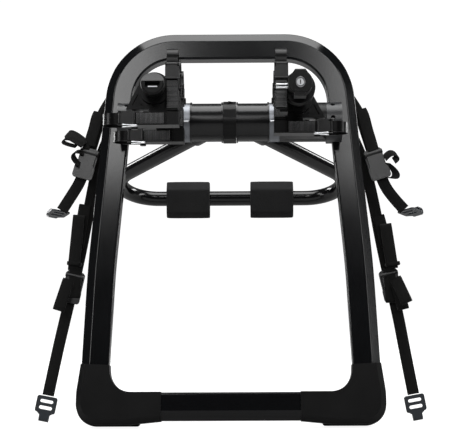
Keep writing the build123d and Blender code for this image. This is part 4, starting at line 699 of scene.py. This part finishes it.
def seen_white(tree, seen):
    """Light path values: the share of rays that see plain white, and how strong that white is."""
    paths = step(tree, "ShaderNodeLightPath").outputs
    mirrored = step(tree, "ShaderNodeMath", {0: paths["Is Glossy Ray"], 1: paths["Is Transmission Ray"]},
                    operation="MAXIMUM")
    share = step(tree, "ShaderNodeMath", {0: paths["Is Camera Ray"], 1: mirrored.outputs[0]},
                 operation="MAXIMUM")
    strength = step(tree, "ShaderNodeMix", {0: paths["Is Camera Ray"], 2: MIRRORED_WHITE, 3: seen})
    return share.outputs[0], strength.outputs[0]


def glowing_white(name, seen):
    """Matte sheet, white to the camera, pale in reflections, and less than white near the middle."""
    material = bpy.data.materials.new(name)
    material.use_nodes = True
    tree = material.node_tree
    tree.nodes.clear()
    place = step(tree, "ShaderNodeTexCoord")
    reach = step(tree, "ShaderNodeVectorMath", {0: place.outputs["Object"]}, operation="LENGTH")
    white = step(tree, "ShaderNodeMapRange", {
        "Value": reach.outputs["Value"], "From Min": SHADOW_REACH[0], "From Max": SHADOW_REACH[1],
        "To Min": seen, "To Max": BACKDROP_WHITE,
    })
    share, strength = seen_white(tree, white.outputs[0])
    matte = step(tree, "ShaderNodeBsdfDiffuse", {"Color": (*SHEET_GREY, 1)})
    glow = step(tree, "ShaderNodeEmission", {"Color": PLAIN_WHITE, "Strength": strength})
    nothing = step(tree, "ShaderNodeEmission", {"Strength": 0.0})
    shown = step(tree, "ShaderNodeMixShader", {0: share, 1: nothing.outputs[0], 2: glow.outputs[0]})
    both = step(tree, "ShaderNodeAddShader", {0: matte.outputs[0], 1: shown.outputs[0]})
    step(tree, "ShaderNodeOutputMaterial", {"Surface": both.outputs[0]})
    return material


def plain_sheet(name, corners, seen):
    mesh = bpy.data.meshes.new(name)
    mesh.from_pydata(corners, [], [(0, 1, 2, 3)])
    mesh.materials.append(glowing_white(f"{name}_white", seen))
    piece = link(name, mesh)


ground = cad_box[0].z
plain_sheet("floor", [
    (-FLOOR_HALF, -FLOOR_HALF, ground), (FLOOR_HALF, -FLOOR_HALF, ground),
    (FLOOR_HALF, FLOOR_HALF, ground), (-FLOOR_HALF, FLOOR_HALF, ground),
], FLOOR_WHITE)
backdrop_foot = ground - BACKDROP_BELOW
plain_sheet("backdrop", [
    (-BACKDROP_HALF, FLOOR_HALF, backdrop_foot), (BACKDROP_HALF, FLOOR_HALF, backdrop_foot),
    (BACKDROP_HALF, FLOOR_HALF, BACKDROP_TOP), (-BACKDROP_HALF, FLOOR_HALF, BACKDROP_TOP),
], BACKDROP_WHITE)
world = bpy.data.worlds.new("studio")
bpy.context.scene.world = world
world.use_nodes = True
sky = world.node_tree.nodes["Background"]
sky.inputs["Color"].default_value = PLAIN_WHITE
eye = step(world.node_tree, "ShaderNodeLightPath").outputs["Is Camera Ray"]
level = step(world.node_tree, "ShaderNodeMix", {0: eye, 2: WORLD_LIGHT, 3: BACKDROP_WHITE})
world.node_tree.links.new(level.outputs[0], sky.inputs["Strength"])
bpy.context.scene.view_settings.view_transform = "Standard"

# %% Lamps
# Each lamp has its place, the point that it looks at, its two sizes and its power in watts
LAMPS = {
    "key_lamp": ((-2.6, -1.0, 1.4), (0, 0, 0.4), (0.5, 2.2), 30),
    "fill_lamp": ((2.6, -0.6, 1.4), (0, 0, 0.4), (0.5, 2.2), 24),
    "top_lamp": ((0, 0.05, 2.55), (0, 0.05, 0.4), (2.2, 1.7), 50),
    "left_panel": ((-0.68, -3.0, 2.1), (-0.2, 0, 0.45), (0.8, 1.2), 22),
    "right_panel": ((0.72, -3.0, 2.1), (0.2, 0, 0.45), (0.8, 1.2), 19),
    "left_rim": ((-1.9, 1.6, 0.9), (0, 0, 0.45), (0.5, 1.6), 30),
    "right_rim": ((1.9, 1.6, 0.9), (0, 0, 0.45), (0.5, 1.6), 30),
}
for name, (place, aim, size, power) in LAMPS.items():
    data = bpy.data.lights.new(name, "AREA")
    data.shape, data.size, data.size_y, data.energy = "RECTANGLE", size[0], size[1], power
    lamp = bpy.data.objects.new(name, data)
    lamp.location = place
    lamp.rotation_euler = (Vector(aim) - Vector(place)).to_track_quat("-Z", "Y").to_euler()
    bpy.context.scene.collection.objects.link(lamp)

# %% [markdown]
# ## Finishes
# Every finish is a small node tree on Object coordinates, so the grain has a real size in metres
# and stays put when a part turns. The webbing reads the distances that its own tree stored.

# %% Two kinds of finish
CLOUD_SCALE, CLOUD_SHARE = 18, 0.25
ROUGH_SHARES = (0.85, 1.15)
GRAIN_DEPTH = 0.0005
WEAVE_PITCH, WEAVE_DEPTH = 0.0014, 0.0004
WEAVE_LOW, WEAVE_HIGH = (0.0032, 0.0032, 0.0032, 1), (0.0078, 0.0076, 0.0072, 1)


def cleared(look):
    """The material's node tree, with nothing in it."""
    look.use_nodes = True
    look.node_tree.nodes.clear()
    return look.node_tree


def paint(name, colour, rough, grain, metal=0.0, specular=0.5, material=None):
    """Colour that clouds a little, roughness that varies with it, and a fine grain in relief."""
    look = material or bpy.data.materials.new(name)
    tree = cleared(look)
    place = step(tree, "ShaderNodeTexCoord").outputs["Object"]
    cloudy = step(tree, "ShaderNodeTexNoise", {"Vector": place, "Scale": CLOUD_SCALE, "Detail": 4.0})
    shade = step(tree, "ShaderNodeMix", {
        0: cloudy.outputs[0], 6: (*[c * (1 - CLOUD_SHARE) for c in colour], 1),
        7: (*[c * (1 + CLOUD_SHARE) for c in colour], 1),
    }, data_type="RGBA")
    roughness = step(tree, "ShaderNodeMapRange", {
        "Value": cloudy.outputs[0], "To Min": rough * ROUGH_SHARES[0], "To Max": rough * ROUGH_SHARES[1],
    })
    fine = step(tree, "ShaderNodeTexNoise", {"Vector": place, "Scale": grain[0], "Detail": 3.0})
    relief = step(tree, "ShaderNodeBump",
                  {"Height": fine.outputs[0], "Strength": grain[1], "Distance": GRAIN_DEPTH})
    shader = step(tree, "ShaderNodeBsdfPrincipled", {
        "Base Color": shade.outputs[2], "Roughness": roughness.outputs[0], "Normal": relief.outputs[0],
        "Metallic": metal, "Specular IOR Level": specular,
    })
    step(tree, "ShaderNodeOutputMaterial", {"Surface": shader.outputs[0]})
    return look


def wave(tree, distance, pitch):
    """A sine wave over a distance, with one full turn for each pitch."""
    turn = step(tree, "ShaderNodeMath", {0: distance, 1: 2 * pi / pitch}, operation="MULTIPLY")
    return step(tree, "ShaderNodeMath", {0: turn.outputs[0]}, operation="SINE").outputs[0]


def woven(look):
    """Ribbed webbing: its weave follows the distance along and across each band."""
    tree = cleared(look)
    place = step(tree, "ShaderNodeAttribute", attribute_name="weave")
    ways = step(tree, "ShaderNodeSeparateXYZ", {0: place.outputs["Vector"]})
    rows = wave(tree, ways.outputs[1], WEAVE_PITCH)
    cords = wave(tree, ways.outputs[0], WEAVE_PITCH * 2)
    cloth = step(tree, "ShaderNodeMath", {0: rows, 1: cords}, operation="MULTIPLY").outputs[0]
    share = step(tree, "ShaderNodeMapRange", {"Value": cloth, "From Min": -1.0, "From Max": 1.0})
    shade = step(tree, "ShaderNodeMix", {0: share.outputs[0], 6: WEAVE_LOW, 7: WEAVE_HIGH},
                 data_type="RGBA")
    relief = step(tree, "ShaderNodeBump", {"Height": cloth, "Strength": 0.5, "Distance": WEAVE_DEPTH})
    shader = step(tree, "ShaderNodeBsdfPrincipled", {
        "Base Color": shade.outputs[2], "Roughness": 0.85, "Normal": relief.outputs[0],
        "Sheen Weight": 0.05, "Sheen Roughness": 0.5, "Specular IOR Level": 0.2,
    })
    step(tree, "ShaderNodeOutputMaterial", {"Surface": shader.outputs[0]})
    return look


# %% Paint every piece
# Each finish has its colour, its roughness, and the scale and strength of its grain
looks = {
    "frame_paint": paint("frame_paint", (0.004, 0.0043, 0.005), 0.14, (700, 0.02), specular=0.4),
    "moulded_black": paint("moulded_black", (0.0036, 0.0036, 0.0038), 0.34, (1500, 0.15), specular=0.22),
    "gloss_black": paint("gloss_black", (0.004, 0.004, 0.0045), 0.16, (500, 0.03)),
    "hub_gloss": paint("hub_gloss", (0.004, 0.004, 0.0045), 0.22, (500, 0.03)),
    "collar_metal": paint("collar_metal", (0.24, 0.25, 0.27), 0.42, (1200, 0.1), metal=1.0),
    "rubber_black": paint("rubber_black", (0.008, 0.008, 0.008), 0.75, (1200, 0.3)),
    "foam_black": paint("foam_black", (0.012, 0.012, 0.0125), 0.95, (600, 0.8), material=foam_look),
    "strap_rubber": paint("strap_rubber", (0.003, 0.003, 0.0031), 0.28, (1200, 0.1), specular=0.2),
    "webbing_black": woven(webbing_look),
    "buckle_black": paint("buckle_black", (0.007, 0.007, 0.0074), 0.3, (1200, 0.15)),
    "hook_paint": paint("hook_paint", (0.025, 0.03, 0.036), 0.35, (900, 0.12)),
    "bright_steel": paint("bright_steel", (0.85, 0.86, 0.88), 0.3, (900, 0.05), metal=1.0),
    "bolt_steel": paint("bolt_steel", (0.3, 0.3, 0.31), 0.4, (900, 0.1), metal=1.0),
}
for node in nodes.values():
    for slot in node.material_slots:
        slot.material = looks.get(slot.material.name.split(".")[0], slot.material)
hub_satin = paint("hub_satin", (0.022, 0.023, 0.025), 0.34, (1500, 0.2))
for side, name in SIDES:
    nodes[f"hub_end_{name}"].material_slots[0].material = hub_satin
# Painted highlight: pale grey on the ribs, where the real rubber is as black as the strap.
paint("strap_ribs", (0.11, 0.11, 0.112), 0.3, (1200, 0.1), material=rib_highlight_look)
lock_collar.data.materials.append(looks["bolt_steel"])
# Painted shade: the keyway's black stands in for the depth of the key slot.
keyway_shade.data.materials.append(looks["moulded_black"])
for piece in bright:
    piece.data.materials.append(looks["bright_steel"])
print("finishes", len(looks))
